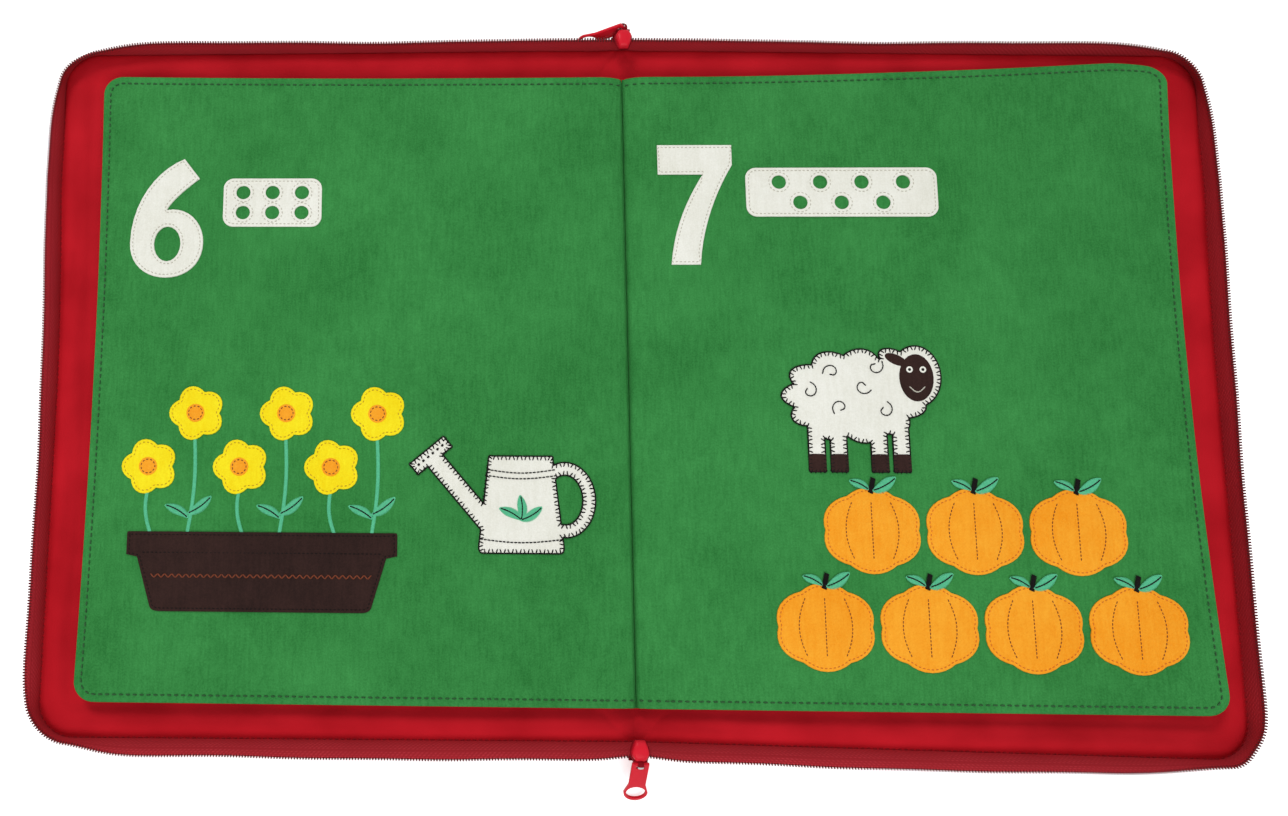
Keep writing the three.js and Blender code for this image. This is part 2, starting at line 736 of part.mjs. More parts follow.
function leftPagePieces() {
  const group = new THREE.Group();
  group.add(mesh("numeral_6", numeralSix(), creamFelt));
  group.add(mesh("tile_6", tile(tileSixCentre, tileSixWidth, [3, 3]), creamFelt));
  const trough = outline(planterShares, planterCentre, planterHalfWidth, planterHalfHeight);
  group.add(mesh("planter", felt(trough), brownFelt));
  for (let i = 0; i < flowerCount; i += 1) {
    const x = planterCentre[0] + (i - (flowerCount - 1) / 2) * flowerPitch;
    const y = pageTail + (i % 2 ? flowerHighTailMargin : flowerLowTailMargin);
    const blossom = felt(lobed([x, y], flowerRadius, flowerRadius, petals, petalNotchShare));
    group.add(mesh(`flower_${i + 1}`, blossom, yellowFelt));
  }
  group.add(mesh("watering_can", wateringCan(), creamFelt));
  return group;
}

function rightPagePieces() {
  const group = new THREE.Group();
  const seven = outline(sevenShares, sevenCentre, numeralWidth / 2, numeralHeight / 2);
  group.add(mesh("numeral_7", felt(seven), creamFelt));
  group.add(mesh("tile_7", tile(tileSevenCentre, tileSevenWidth, [4, 3]), creamFelt));
  for (let i = 0; i < pumpkinLowCount + pumpkinHighCount; i += 1) {
    const low = i < pumpkinLowCount;
    const fromLast = low ? i : i - pumpkinLowCount + 0.5;
    const centre = [pumpkinLast - fromLast * pumpkinPitch, pumpkinLowRow + (low ? 0 : pumpkinRowPitch)];
    const pumpkin = felt(lobed(centre, pumpkinHalfWidth, pumpkinHalfHeight, pumpkinRibs, ribNotchShare));
    group.add(mesh(`pumpkin_${i + 1}`, pumpkin, orangeFelt));
  }
  group.add(mesh("sheep", sheep(), creamFelt));
  return group;
}

const book = new THREE.Group();
book.add(coverPieces("back", "right", "right"));
book.add(spinePieces());
book.add(coverPieces("front", "left", "left"));
book.add(leaves());
book.add(zipSliders());
book.add(leftPagePieces());
book.add(rightPagePieces());

export default book;
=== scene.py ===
# %% [markdown]
# A soft counting book lies open and flat in its padded red case. The case zips shut round three
# sides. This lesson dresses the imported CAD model: felt leaves with sewn edges, a satin lining, a
# standing zip tape with its teeth, two painted sliders and the felt shapes on the open pages.
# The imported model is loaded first, because every piece takes its size and place from it.

import json
import math

import bmesh
import bpy
import numpy as np
from mathutils import Matrix, Vector

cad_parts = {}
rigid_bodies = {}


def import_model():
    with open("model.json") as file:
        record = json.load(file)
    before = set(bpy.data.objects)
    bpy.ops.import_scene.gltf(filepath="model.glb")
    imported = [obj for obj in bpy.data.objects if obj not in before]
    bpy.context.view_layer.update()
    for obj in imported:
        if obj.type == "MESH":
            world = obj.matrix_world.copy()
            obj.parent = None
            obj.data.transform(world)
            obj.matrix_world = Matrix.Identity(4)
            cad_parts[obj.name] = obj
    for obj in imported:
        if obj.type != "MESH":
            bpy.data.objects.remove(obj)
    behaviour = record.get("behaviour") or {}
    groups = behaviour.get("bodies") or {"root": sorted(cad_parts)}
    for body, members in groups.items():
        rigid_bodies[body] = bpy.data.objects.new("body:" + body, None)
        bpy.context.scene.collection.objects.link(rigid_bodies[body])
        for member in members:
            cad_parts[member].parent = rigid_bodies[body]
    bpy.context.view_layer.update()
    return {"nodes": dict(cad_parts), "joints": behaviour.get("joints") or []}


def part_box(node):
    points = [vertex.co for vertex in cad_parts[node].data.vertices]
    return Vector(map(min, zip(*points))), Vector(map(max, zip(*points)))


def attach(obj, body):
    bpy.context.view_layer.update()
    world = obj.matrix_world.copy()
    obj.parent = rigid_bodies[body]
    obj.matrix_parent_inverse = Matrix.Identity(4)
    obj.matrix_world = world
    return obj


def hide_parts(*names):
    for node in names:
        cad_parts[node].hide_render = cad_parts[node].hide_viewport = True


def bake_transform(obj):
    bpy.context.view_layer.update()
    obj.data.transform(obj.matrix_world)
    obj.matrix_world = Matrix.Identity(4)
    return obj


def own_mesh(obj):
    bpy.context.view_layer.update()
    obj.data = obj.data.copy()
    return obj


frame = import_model()
mm = 0.001

# %% [markdown]
# The sizes that the pieces share are read from CAD nodes. Right-hand nodes are measured, and the
# left-hand side is their mirror image, so each piece is written once with a side of 1 or -1.

# %% Sizes from the frame
page_low, page_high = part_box("page_7_felt")
shell_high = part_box("back_cover_shell")[1]
lining_low, lining_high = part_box("back_cover_lining")
foam_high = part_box("back_cover_foam")[1]
tape_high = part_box("back_zip_tape")[1]
coil_low, coil_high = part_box("back_zip_coil")
applique_low, applique_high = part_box("numeral_6")

PAGE_INNER, PAGE_OUTER, PAGE_HALF, PAGE_TOP = page_low.x, page_high.x, page_high.y, page_high.z
CASE_OUTER, CASE_HALF = shell_high.x, shell_high.y
COIL_HEIGHT = (coil_low.z + coil_high.z) / 2
COIL_LINE = (coil_high.y + tape_high.y) / 2
PAGE_CORNER = 9.5 * mm
SEWN_CORNER = 17 * mm
SIDES = {"left": -1, "right": 1}
COVER = {"left": "front", "right": "back"}
print("page", round(PAGE_OUTER / mm, 1), "x", round(PAGE_HALF * 2 / mm, 1), "mm; case edge",
      round(CASE_OUTER / mm, 1), "mm from the spine")

# %% [markdown]
# The camera looks steeply down on the book. Its angles, its distance and the shift of its picture
# were fitted to the corners of the pages and to the outline of the case in the photograph, which
# is cut from a wider picture, so its middle isn't on the lens axis.

# %% Camera
PHOTO_WIDTH_PX = 1288
FOCAL_PX = 1100
PICTURE_SHIFT_PX = (256.3, 38.7)
SENSOR = 36
azimuth, elevation, roll = (math.radians(a) for a in (11.06, 81.22, -10.6))
CAMERA_DISTANCE = 505.6 * mm
CAMERA_TARGET = Vector((-111.4, -32.2, 14.0)) * mm

back = Vector((math.sin(azimuth) * math.cos(elevation), -math.cos(azimuth) * math.cos(elevation),
               math.sin(elevation)))
level = (-back).cross(Vector((0, 0, 1))).normalized()
upward = level.cross(-back)
across = level * math.cos(roll) + upward * math.sin(roll)
upright = upward * math.cos(roll) - level * math.sin(roll)

camera = bpy.data.objects.new("camera", bpy.data.cameras.new("camera"))
bpy.context.scene.collection.objects.link(camera)
camera.data.sensor_width = SENSOR
camera.data.lens = FOCAL_PX * SENSOR / PHOTO_WIDTH_PX
camera.data.shift_x, camera.data.shift_y = (shift / PHOTO_WIDTH_PX for shift in PICTURE_SHIFT_PX)
camera.data.clip_start, camera.data.clip_end = 0.05, 20
camera.matrix_world = Matrix.LocRotScale(
    CAMERA_TARGET + back * CAMERA_DISTANCE, Matrix((across, upright, back)).transposed(), None)
bpy.context.scene.camera = camera
print("lens", round(camera.data.lens, 2), "mm")

# %% [markdown]
# Colours are written as sRGB hex values, as a colour picker shows them, and one function turns them
# to the linear values that shaders use. One more function adds any node, with its settings and links.

# %% Colour and node helpers
def linear(hex_colour):
    """An sRGB colour such as #2A7D36 as linear red, green, blue and alpha."""
    parts = [int(hex_colour[i:i + 2], 16) / 255 for i in (1, 3, 5)]
    return tuple(c / 12.92 if c <= 0.04045 else ((c + 0.055) / 1.055) ** 2.4 for c in parts) + (1.0,)


def node(tree, kind, inputs=None, **settings):
    """Adds a node. An input is a value, or an output socket of another node to link from."""
    made = tree.nodes.new(kind)
    for name, value in settings.items():
        setattr(made, name, value)
    for socket, value in (inputs or {}).items():
        if isinstance(value, bpy.types.NodeSocket):
            tree.links.new(value, made.inputs[socket])
        else:
            made.inputs[socket].default_value = value
    return made


def new_material(name, constants):
    """An empty material, its tree and its shader, with the values that are the same all over."""
    material = bpy.data.materials.new(name)
    material.use_nodes = True
    shader = material.node_tree.nodes["Principled BSDF"]
    for socket, value in constants.items():
        shader.inputs[socket].default_value = value
    return material, material.node_tree, shader


print("the pages' green in linear values:", [round(c, 3) for c in linear("#2D7F3A")[:3]])

# %% [markdown]
# The floor is a plain pale board and the sky is an even white. What the camera sees directly is
# white, as in a product photograph, while the light on the object stays at a plain level. The key
# light hangs beyond the head of the book, because the photograph's shadows fall towards its foot.

# %% Stage and light
scene = bpy.context.scene
scene.view_settings.view_transform = "Standard"

world = bpy.data.worlds.new("studio")
scene.world = world
world.use_nodes = True
sky = world.node_tree
sky.nodes.clear()
ray = node(sky, "ShaderNodeLightPath")
seen = node(sky, "ShaderNodeMath", {0: ray.outputs["Is Camera Ray"], 1: ray.outputs["Is Glossy Ray"]},
            operation="MAXIMUM")
soft_sky = node(sky, "ShaderNodeBackground", {"Color": linear("#F8F9FA"), "Strength": 0.5})
white_sky = node(sky, "ShaderNodeBackground", {"Color": (1, 1, 1, 1), "Strength": 1.0})
chosen = node(sky, "ShaderNodeMixShader",
              {0: seen.outputs[0], 1: soft_sky.outputs[0], 2: white_sky.outputs[0]})
node(sky, "ShaderNodeOutputWorld", {"Surface": chosen.outputs[0]})

FLOOR_LIFT = 0.5
floor_material, floor_tree, floor_shader = new_material(
    "pale painted board", {"Base Color": linear("#FFFFFF"), "Roughness": 0.9, "Specular IOR Level": 0.1,
                           "Emission Color": (1, 1, 1, 1)})
floor_ray = node(floor_tree, "ShaderNodeLightPath")
lift = node(floor_tree, "ShaderNodeMath", {0: floor_ray.outputs["Is Camera Ray"], 1: FLOOR_LIFT},
            operation="MULTIPLY")
floor_tree.links.new(lift.outputs[0], floor_shader.inputs["Emission Strength"])
floor_mesh = bpy.data.meshes.new("floor")
FLOOR_HALF = 3.0
FLOOR_DROP = -0.2 * mm
floor_mesh.from_pydata([(-FLOOR_HALF, -FLOOR_HALF, FLOOR_DROP), (FLOOR_HALF, -FLOOR_HALF, FLOOR_DROP),
                        (FLOOR_HALF, FLOOR_HALF, FLOOR_DROP), (-FLOOR_HALF, FLOOR_HALF, FLOOR_DROP)],
                       [], [(0, 1, 2, 3)])
floor = bpy.data.objects.new("floor", floor_mesh)
floor_mesh.materials.append(floor_material)
scene.collection.objects.link(floor)


def area_light(name, place, size, power):
    """A round lamp that points at the middle of the book."""
    lamp = bpy.data.lights.new(name, "AREA")
    lamp.shape, lamp.size, lamp.energy = "DISK", size, power
    made = bpy.data.objects.new(name, lamp)
    made.location = place
    made.rotation_euler = (-Vector(place)).to_track_quat("-Z", "Y").to_euler()
    scene.collection.objects.link(made)


area_light("key", place=(-0.55, 1.0, 1.6), size=0.6, power=11)
area_light("fill", place=(0, -1.1, 1.6), size=1.4, power=15)
print("two lamps and an even sky")

# %% [markdown]
# The pages are needle-punched craft felt: short fibres in every direction, with a faint grain from
# the scrim. Large clouds and fine fibres vary its colour, and the same fibres make its bump. Sheen
# gives the soft pale edge that loose fibres catch. Fibres are drawn at about a millimetre, which is
# coarser than real ones, so that they show in a render of the whole book. Felt never lies quite
# flat, and the slowest of the bumps stands for that.

# %% Felt
FIBRE = 0.8 * mm
GRAIN = 1.3 * mm
CLOUD = 9 * mm
WAVE = 52 * mm
MOTTLED_SHARE = 0.8


def felt(name, colour, pale, deep):
    """Felt in three close tones of one dyed colour."""
    material, tree, shader = new_material(
        name, {"Roughness": 0.95, "Specular IOR Level": 0.2, "Sheen Weight": 0.22, "Sheen Roughness": 0.55,
               "Sheen Tint": linear(pale)})
    place = node(tree, "ShaderNodeTexCoord").outputs["Object"]
    cloud = node(tree, "ShaderNodeTexNoise", {"Vector": place, "Scale": 1 / CLOUD, "Detail": 4.0,
                                              "Roughness": 0.6})
    along = node(tree, "ShaderNodeMapping", {"Vector": place, "Scale": (1 / GRAIN, 0.12 / GRAIN, 1 / GRAIN)})
    grain = node(tree, "ShaderNodeTexNoise", {"Vector": along.outputs[0], "Scale": 1.0, "Detail": 2.0})
    fibre = node(tree, "ShaderNodeTexNoise", {"Vector": place, "Scale": 1 / FIBRE, "Detail": 3.0,
                                              "Roughness": 0.7})
    wave = node(tree, "ShaderNodeTexNoise", {"Vector": place, "Scale": 1 / WAVE, "Detail": 1.0})
    tone = 0.0
    for texture, low, high, share in ((wave, 0.35, 0.65, 0.25), (cloud, 0.35, 0.65, 0.2),
                                      (grain, 0.35, 0.65, 0.2), (fibre, 0.36, 0.64, 0.35)):
        part = node(tree, "ShaderNodeMapRange", {0: texture.outputs[0], 1: low, 2: high})
        tone = node(tree, "ShaderNodeMath", {0: part.outputs[0], 1: share, 2: tone},
                    operation="MULTIPLY_ADD").outputs[0]
    shade = node(tree, "ShaderNodeMix", {0: tone, 6: linear(deep), 7: linear(pale)}, data_type="RGBA")
    body = node(tree, "ShaderNodeMix", {0: MOTTLED_SHARE, 6: linear(colour), 7: shade.outputs[2]},
                data_type="RGBA")
    tree.links.new(body.outputs[2], shader.inputs["Base Color"])
    waves = node(tree, "ShaderNodeBump", {"Height": wave.outputs[0], "Strength": 0.6, "Distance": 3.5 * mm})
    lumps = node(tree, "ShaderNodeBump", {"Height": cloud.outputs[0], "Strength": 0.35, "Distance": 1.0 * mm,
                                          "Normal": waves.outputs[0]})
    fuzz = node(tree, "ShaderNodeBump", {"Height": fibre.outputs[0], "Strength": 0.6, "Distance": 0.35 * mm,
                                         "Normal": lumps.outputs[0]})
    tree.links.new(fuzz.outputs[0], shader.inputs["Normal"])
    return material


GREEN_FELT = felt("green felt", "#2D7F3A", "#43994F", "#1C6528")
CREAM_FELT = felt("cream felt", "#EDEDE1", "#F8F8F0", "#DEDDCF")
BROWN_FELT = felt("dark brown felt", "#2E1B18", "#3C2622", "#1C0F0D")
YELLOW_FELT = felt("yellow felt", "#FFE600", "#FFF22A", "#F0CC00")
ORANGE_FELT = felt("orange felt", "#FFA318", "#FFB436", "#F08A08")
print("five felts")

# %% [markdown]
# The lining is polyester satin, so it is smoother than the rest and shows soft lengthwise lights. The
# outer cloth is a plain weave. The tape is a dense twill woven along the zip, so its pattern follows
# a UV map whose unit is the metre. Threads are drawn at a millimetre to show at this distance.

# %% Woven cloths
TWILL = 1.0 * mm
SATIN_CREASE = 5 * mm
SATIN_PAINTED_LIGHT = 30 * mm
CLOTH_CLOUD = 25 * mm
COIL_SEAM = 8.4 * mm
COIL_SEAM_HALF = 0.35 * mm


def satin(name, colour, pale, deep):
    """Satin: broad lights painted into its colour in three close tones, and fine creases in its bump."""
    material, tree, shader = new_material(
        name, {"Roughness": 0.55, "Specular IOR Level": 0.22, "Specular Tint": linear(pale)})
    place = node(tree, "ShaderNodeTexCoord").outputs["Object"]
    # Broad patches of pale and deep colour are painted highlight and shade, standing for the lights that
    # satin catches.
    painted_light = node(tree, "ShaderNodeTexNoise", {"Vector": place, "Scale": 1 / SATIN_PAINTED_LIGHT, "Detail": 2.0})
    crease = node(tree, "ShaderNodeTexNoise", {"Vector": place, "Scale": 1 / SATIN_CREASE, "Detail": 3.0,
                                               "Roughness": 0.45})
    tone = node(tree, "ShaderNodeMapRange", {0: painted_light.outputs[0], 1: 0.3, 2: 0.7})
    shade = node(tree, "ShaderNodeMix", {0: tone.outputs[0], 6: linear(deep), 7: linear(pale)},
                 data_type="RGBA")
    body = node(tree, "ShaderNodeMix", {0: 0.5, 6: linear(colour), 7: shade.outputs[2]}, data_type="RGBA")
    tree.links.new(body.outputs[2], shader.inputs["Base Color"])
    soft = node(tree, "ShaderNodeBump", {"Height": crease.outputs[0], "Strength": 0.3, "Distance": 0.8 * mm})
    tree.links.new(soft.outputs[0], shader.inputs["Normal"])
    return material


def woven(name, deep, pale, roughness, pitch, uv):
    """A plain or twill weave: two sets of ridges that cross."""
    material, tree, shader = new_material(
        name, {"Roughness": roughness, "Specular IOR Level": 0.12, "Specular Tint": linear(pale)})
    place = node(tree, "ShaderNodeTexCoord").outputs["UV" if uv else "Object"]
    ridges = 2 * math.pi / 20 / pitch
    warp = node(tree, "ShaderNodeTexWave", {"Vector": place, "Scale": ridges, "Distortion": 0.4},
                bands_direction="DIAGONAL")
    weft = node(tree, "ShaderNodeTexWave", {"Vector": place, "Scale": ridges, "Distortion": 0.4},
                bands_direction="Y")
    cross = node(tree, "ShaderNodeMath", {0: warp.outputs["Fac"], 1: weft.outputs["Fac"]},
                 operation="MULTIPLY")
    clouds = node(tree, "ShaderNodeTexNoise", {"Vector": place, "Scale": 1 / CLOTH_CLOUD, "Detail": 2.0})
    tone = node(tree, "ShaderNodeMath", {0: cross.outputs[0], 1: clouds.outputs[0]}, operation="MULTIPLY")
    body = node(tree, "ShaderNodeMix", {0: tone.outputs[0], 6: linear(deep), 7: linear(pale)},
                data_type="RGBA")
    if uv:
        width = node(tree, "ShaderNodeSeparateXYZ", {0: place}).outputs[1]
        line = node(tree, "ShaderNodeMath", {0: width, 1: COIL_SEAM, 2: COIL_SEAM_HALF}, operation="COMPARE")
        body = node(tree, "ShaderNodeMix", {0: line.outputs[0], 6: body.outputs[2], 7: linear(deep)},
                    data_type="RGBA")
    tree.links.new(body.outputs[2], shader.inputs["Base Color"])
    bump = node(tree, "ShaderNodeBump", {"Height": cross.outputs[0], "Strength": 0.4, "Distance": 0.15 * mm})
    tree.links.new(bump.outputs[0], shader.inputs["Normal"])
    return material


LINING_SATIN = satin("red polyester satin", "#B81A24", "#CC202C", "#9E131C")
OUTER_CLOTH = woven("red outer cloth", "#96141E", "#BE202C", 0.8, TWILL, False)
ZIP_TWILL = woven("dark red zip tape", "#AC2A32", "#D8444E", 0.75, TWILL, True)
print("three woven cloths")

# %% [markdown]
# Sewing thread is a smooth polyester thread, so it is a little glossier than felt. The zip's teeth
# are dyed nylon. The sliders are die-cast zinc, sprayed with bright red enamel; the loop that the pull
# hangs on is worn back to the metal. A darker copy of that one enamel, on the plates, the neck and
# the loop, is painted shade.

# %% Thread, nylon, enamel and zinc
def plain(name, colour, deep, grain, constants):
    """A smooth material whose colour varies a little over patches of grain's size."""
    material, tree, shader = new_material(name, constants)
    place = node(tree, "ShaderNodeTexCoord").outputs["Object"]
    patches = node(tree, "ShaderNodeTexNoise", {"Vector": place, "Scale": 1 / grain, "Detail": 2.0})
    body = node(tree, "ShaderNodeMix", {0: patches.outputs[0], 6: linear(deep), 7: linear(colour)},
                data_type="RGBA")
    tree.links.new(body.outputs[2], shader.inputs["Base Color"])
    bump = node(tree, "ShaderNodeBump",
                {"Height": patches.outputs[0], "Strength": 0.15, "Distance": 0.1 * mm})
    tree.links.new(bump.outputs[0], shader.inputs["Normal"])
    return material


THREAD_PATCH = 1.0 * mm
THREAD = {"Roughness": 0.6, "Specular IOR Level": 0.3, "Sheen Weight": 0.15}
GREEN_THREAD = plain("dark green thread", "#1B5A24", "#123F18", THREAD_PATCH, THREAD)
PALE_THREAD = plain("pale grey thread", "#CFCBBE", "#B4AF9F", THREAD_PATCH, THREAD)
BLACK_THREAD = plain("black thread", "#120D0C", "#060404", THREAD_PATCH,
                     {"Roughness": 0.7, "Specular IOR Level": 0.15})
MINT_THREAD = plain("mint embroidery thread", "#66CFA0", "#47B183", THREAD_PATCH, THREAD)
RUST_THREAD = plain("rust brown thread", "#8A3A08", "#5E2404", THREAD_PATCH, THREAD)
AMBER_THREAD = plain("amber thread", "#E07C08", "#C26404", THREAD_PATCH, THREAD)
GOLD_THREAD = plain("gold thread", "#D9B200", "#B89400", THREAD_PATCH, THREAD)
RED_THREAD = plain("dark red thread", "#A01820", "#7A1018", THREAD_PATCH,
                   {"Roughness": 0.8, "Specular IOR Level": 0.1})
NYLON = plain("dyed nylon teeth", "#6A1218", "#38080C", 2.0 * mm,
              {"Roughness": 0.5, "Specular IOR Level": 0.3})
ENAMEL = plain("red enamel on zinc", "#DE2032", "#C81427", 6.0 * mm,
               {"Roughness": 0.42, "Specular IOR Level": 0.2, "Specular Tint": linear("#FF8890"),
                "Coat Weight": 0.12, "Coat Roughness": 0.2})
# The crown's enamel again, darker: painted shade for the plates, neck and loop that lie below the crown.
SHADED_ENAMEL = plain("red enamel darkened for painted shade", "#8C0E1A", "#700A14", 6.0 * mm,
                    {"Roughness": 0.45, "Specular IOR Level": 0.15, "Specular Tint": linear("#FF8890")})
ZINC = plain("bare die-cast zinc", "#D8D8D6", "#A8A8A6", 1.5 * mm, {"Roughness": 0.3, "Metallic": 1.0})
print(len(bpy.data.materials), "materials so far")

# %% [markdown]
# Most of the book is sheets with two round outer corners. A sheet is a grid of points whose lines
# bend round the corner, so that every line keeps its distance from the edge. The edge can then be
# rounded, and a row of stitches can pull the sheet in, by that distance alone.

# %% Sheet helpers
def spaced(start, stop, step, *stretches):
    """Places from start to stop, step apart, with closer ones in each (from, to, step) stretch."""
    places = np.linspace(start, stop, max(2, round((stop - start) / step) + 1))
    for low, high, fine in stretches:
        places = places[(places < low - fine / 2) | (places > high + fine / 2)]
        places = np.concatenate([places, np.arange(low, high + fine / 2, fine)])
    return np.unique(np.round(places, 7))


def with_edges(places, low, high, distances):
    """places, plus lines at the given distances inside the low and high ends that are not None."""
    near = np.array(distances)
    if low is not None:
        places = np.concatenate([places[places > low + near[-1] * 1.1], low + near])
    if high is not None:
        places = np.concatenate([places[places < high - near[-1] * 1.1], high - near])
    return np.unique(np.round(places, 7))


def rounded_grid(xs, ys, outer, half, corner):
    """Grid points of a sheet with two round outer corners, and each point's distance from the edge."""
    x, y = np.meshgrid(xs, ys, indexing="ij")
    from_side, from_end = outer - x, half - np.abs(y)
    near, far = np.minimum(from_side, from_end), np.maximum(from_side, from_end)
    in_corner = far < corner
    turn = np.where(in_corner, (corner - far) / np.maximum(corner - near, 1e-9), 0) * math.pi / 4
    turn = np.where(from_side <= from_end, turn, math.pi / 2 - turn)
    x = np.where(in_corner, outer - corner + (corner - near) * np.cos(turn), x)
    y = np.where(in_corner, np.sign(y) * (half - corner + (corner - near) * np.sin(turn)), y)
    return x, y, np.maximum(near, 0)


print("a line every 4 mm:", len(spaced(0, 40 * mm, 4 * mm)), "lines in 40 mm")

# %% [markdown]
# Two bodies are needed again and again. A slab is closed between two grids of heights, which suits
# felt, lining and covers. A loft is closed through rings of points, which suits thread and castings.
# Every finished piece keeps its place in its mesh, so that its pattern doesn't move with it.

# %% Body helpers
def piece(name, mesh, *materials):
    """A smooth object of the book, with its place in its mesh."""
    mesh.name = name
    for material in materials:
        mesh.materials.append(material)
    mesh.shade_smooth()
    mesh.set_sharp_from_angle(angle=math.radians(50))
    made = bpy.data.objects.new(name, mesh)
    scene.collection.objects.link(made)
    return made


def slab(x, y, top, bottom, side=1):
    """A closed body between two grids of heights."""
    rows, columns = x.shape
    upper = np.stack([side * x, y, top], -1).reshape(-1, 3)
    lower = np.stack([side * x, y, bottom], -1).reshape(-1, 3)
    index = np.arange(rows * columns).reshape(rows, columns)
    quads = np.stack([index[:-1, :-1], index[1:, :-1], index[1:, 1:], index[:-1, 1:]], -1).reshape(-1, 4)
    ring = np.concatenate([index[:, 0], index[-1, 1:], index[-2::-1, -1], index[0, -2:0:-1]])
    after, count = np.roll(ring, -1), rows * columns
    walls = np.stack([ring + count, after + count, after, ring], -1)
    faces = np.concatenate([quads, quads[:, ::-1] + count, walls])
    if side < 0:
        faces = faces[:, ::-1]
    mesh = bpy.data.meshes.new("slab")
    mesh.from_pydata(np.concatenate([upper, lower]).tolist(), [], faces.tolist())
    return mesh


def finished(bm, name):
    """A mesh from a bmesh, which is freed."""
    mesh = bpy.data.meshes.new(name)
    bm.to_mesh(mesh)
    bm.free()
    return mesh


def loft(rings):
    """A closed body through rings of points, with its ends filled."""
    sides, last = len(rings[0]), len(rings) - 1
    faces = []
    for r in range(last):
        for i in range(sides):
            here, after = r * sides + i, r * sides + (i + 1) % sides
            faces.append((here, after, after + sides, here + sides))
    faces += [tuple(range(sides)), tuple(range(last * sides, (last + 1) * sides))]
    mesh = bpy.data.meshes.new("loft")
    mesh.from_pydata([tuple(p) for ring in rings for p in ring], [], faces)
    bm = bmesh.new()
    bm.from_mesh(mesh)
    bmesh.ops.recalc_face_normals(bm, faces=bm.faces)
    return finished(bm, "loft")


def rounding(distance, radius):
    """How far a rounded edge has dropped at a distance in from it."""
    inside = radius - np.clip(distance, 0, radius)
    return radius - np.sqrt(radius ** 2 - inside ** 2)


print("half a millimetre in, a 2 mm edge has dropped", round(float(rounding(0.5 * mm, 2 * mm)) / mm, 2), "mm")


# %% [markdown]
# Each leaf is two sheets of felt, sewn together 3.5 mm in from the edge. The stitches pull the felt
# in, so each sheet dips along that line, and it lies in slow ripples that all the leaves share. The
# felt has stretched at its corners, so each edge bows in between them, most on the right, where the
# leaves lie a few millimetres further out and their head corner is worn rounder. Each sheet is cut by
# hand, so its edge is a fraction of a millimetre in or out from its neighbour's.

# %% Leaf surface
FELT_RIM = 0.5 * mm
SEAM_INSET = 3.5 * mm
SEAM_DEPTH = 0.22 * mm
SEAM_WIDTH = 0.7 * mm
STITCH_PITCH = 3.1 * mm
RIPPLE = 0.16 * mm
CUT_SPREAD = 0.35 * mm
EDGE_BOW = {-1: 2.2 * mm, 1: 4.4 * mm}
LIES_OUT = {-1: 1.8 * mm, 1: 7.2 * mm}
HEAD_BOW = 0.6 * mm
HEAD_SKEW = {-1: 1.2 * mm, 1: 7.5 * mm}
WORN_DOWN = {-1: 0, 1: 4.5 * mm}
WORN_REACH = 26 * mm
EDGE_LINES = np.array([0, 0.06, 0.2, 0.5, 1.4, 2.5, 3.0, 3.5, 4.0, 4.5, 6.0]) * mm
cutting = np.random.default_rng(11)


def ripple(x, y):
    """The slow waves that the felt lies in."""
    return RIPPLE * (np.sin(x / (31 * mm) + 1.3) * np.sin(y / (43 * mm) + 0.4)
                     + 0.7 * np.sin((x + y) / (23 * mm)) * np.sin((x - 2 * y) / (57 * mm)))


def seam(distance):
    """How far the row of stitches pulls the felt in."""
    return SEAM_DEPTH * np.exp(-((distance - SEAM_INSET) / SEAM_WIDTH) ** 2)


def lying(side, x, y):
    """Where a point of a flat leaf lies once its edges bow; x counts outwards from the spine."""
    out = np.clip((x - PAGE_INNER) / (PAGE_OUTER - PAGE_INNER), 0, 1)
    middle = 1 - (y / PAGE_HALF) ** 2
    head = np.clip(y / PAGE_HALF, 0, 1)
    up = HEAD_SKEW[side] * out ** 1.6 * head - HEAD_BOW * head ** 3 * 4 * out * (1 - out)
    near_side = np.clip(1 - (PAGE_OUTER - x) / WORN_REACH, 0, 1)
    near_head = np.clip(1 - (PAGE_HALF - y) / WORN_REACH, 0, 1)
    up = up - WORN_DOWN[side] * (near_side * near_head) ** 1.5
    return x + out ** 3 * (LIES_OUT[side] - EDGE_BOW[side] * middle), y + up


page_rows = with_edges(spaced(-PAGE_HALF, PAGE_HALF, 4 * mm), -PAGE_HALF, PAGE_HALF, EDGE_LINES)


def leaf_place(leaf):
    """The side that a leaf lies on, and how many leaves lie under it there."""
    return (-1, leaf - 1) if leaf <= 3 else (1, 6 - leaf)


def page_mesh(side, low, high, outer):
    """One sheet of felt between two heights, cut at outer."""
    columns = with_edges(spaced(PAGE_INNER, outer, 4 * mm), None, outer, EDGE_LINES)
    columns[0] = PAGE_INNER
    x, y, edge = rounded_grid(columns, page_rows, outer, PAGE_HALF, PAGE_CORNER)
    x, y = lying(side, x, y)
    shrink = rounding(edge, FELT_RIM) + seam(edge)
    lie = ripple(side * x, y)
    return slab(x, y, high + lie - shrink, low + lie + shrink, side)


pages = {}
for leaf in range(1, 7):
    side, _ = leaf_place(leaf)
    for page in (2 * leaf - 1, 2 * leaf):
        low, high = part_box(f"page_{page}_felt")
        outer = PAGE_OUTER - abs(cutting.normal(0, CUT_SPREAD))
        made = piece(f"page_{page}", page_mesh(side, low.z, high.z, outer), GREEN_FELT)
        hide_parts(f"page_{page}_felt")
        pages[page] = made
print("pages:", len(pages), "with", len(pages[6].data.polygons), "faces each")

# %% [markdown]
# At the spine the leaves are pinched together where they are sewn in, so the open pages dip into a
# narrow dark gutter. That inner margin is a piece of its own.

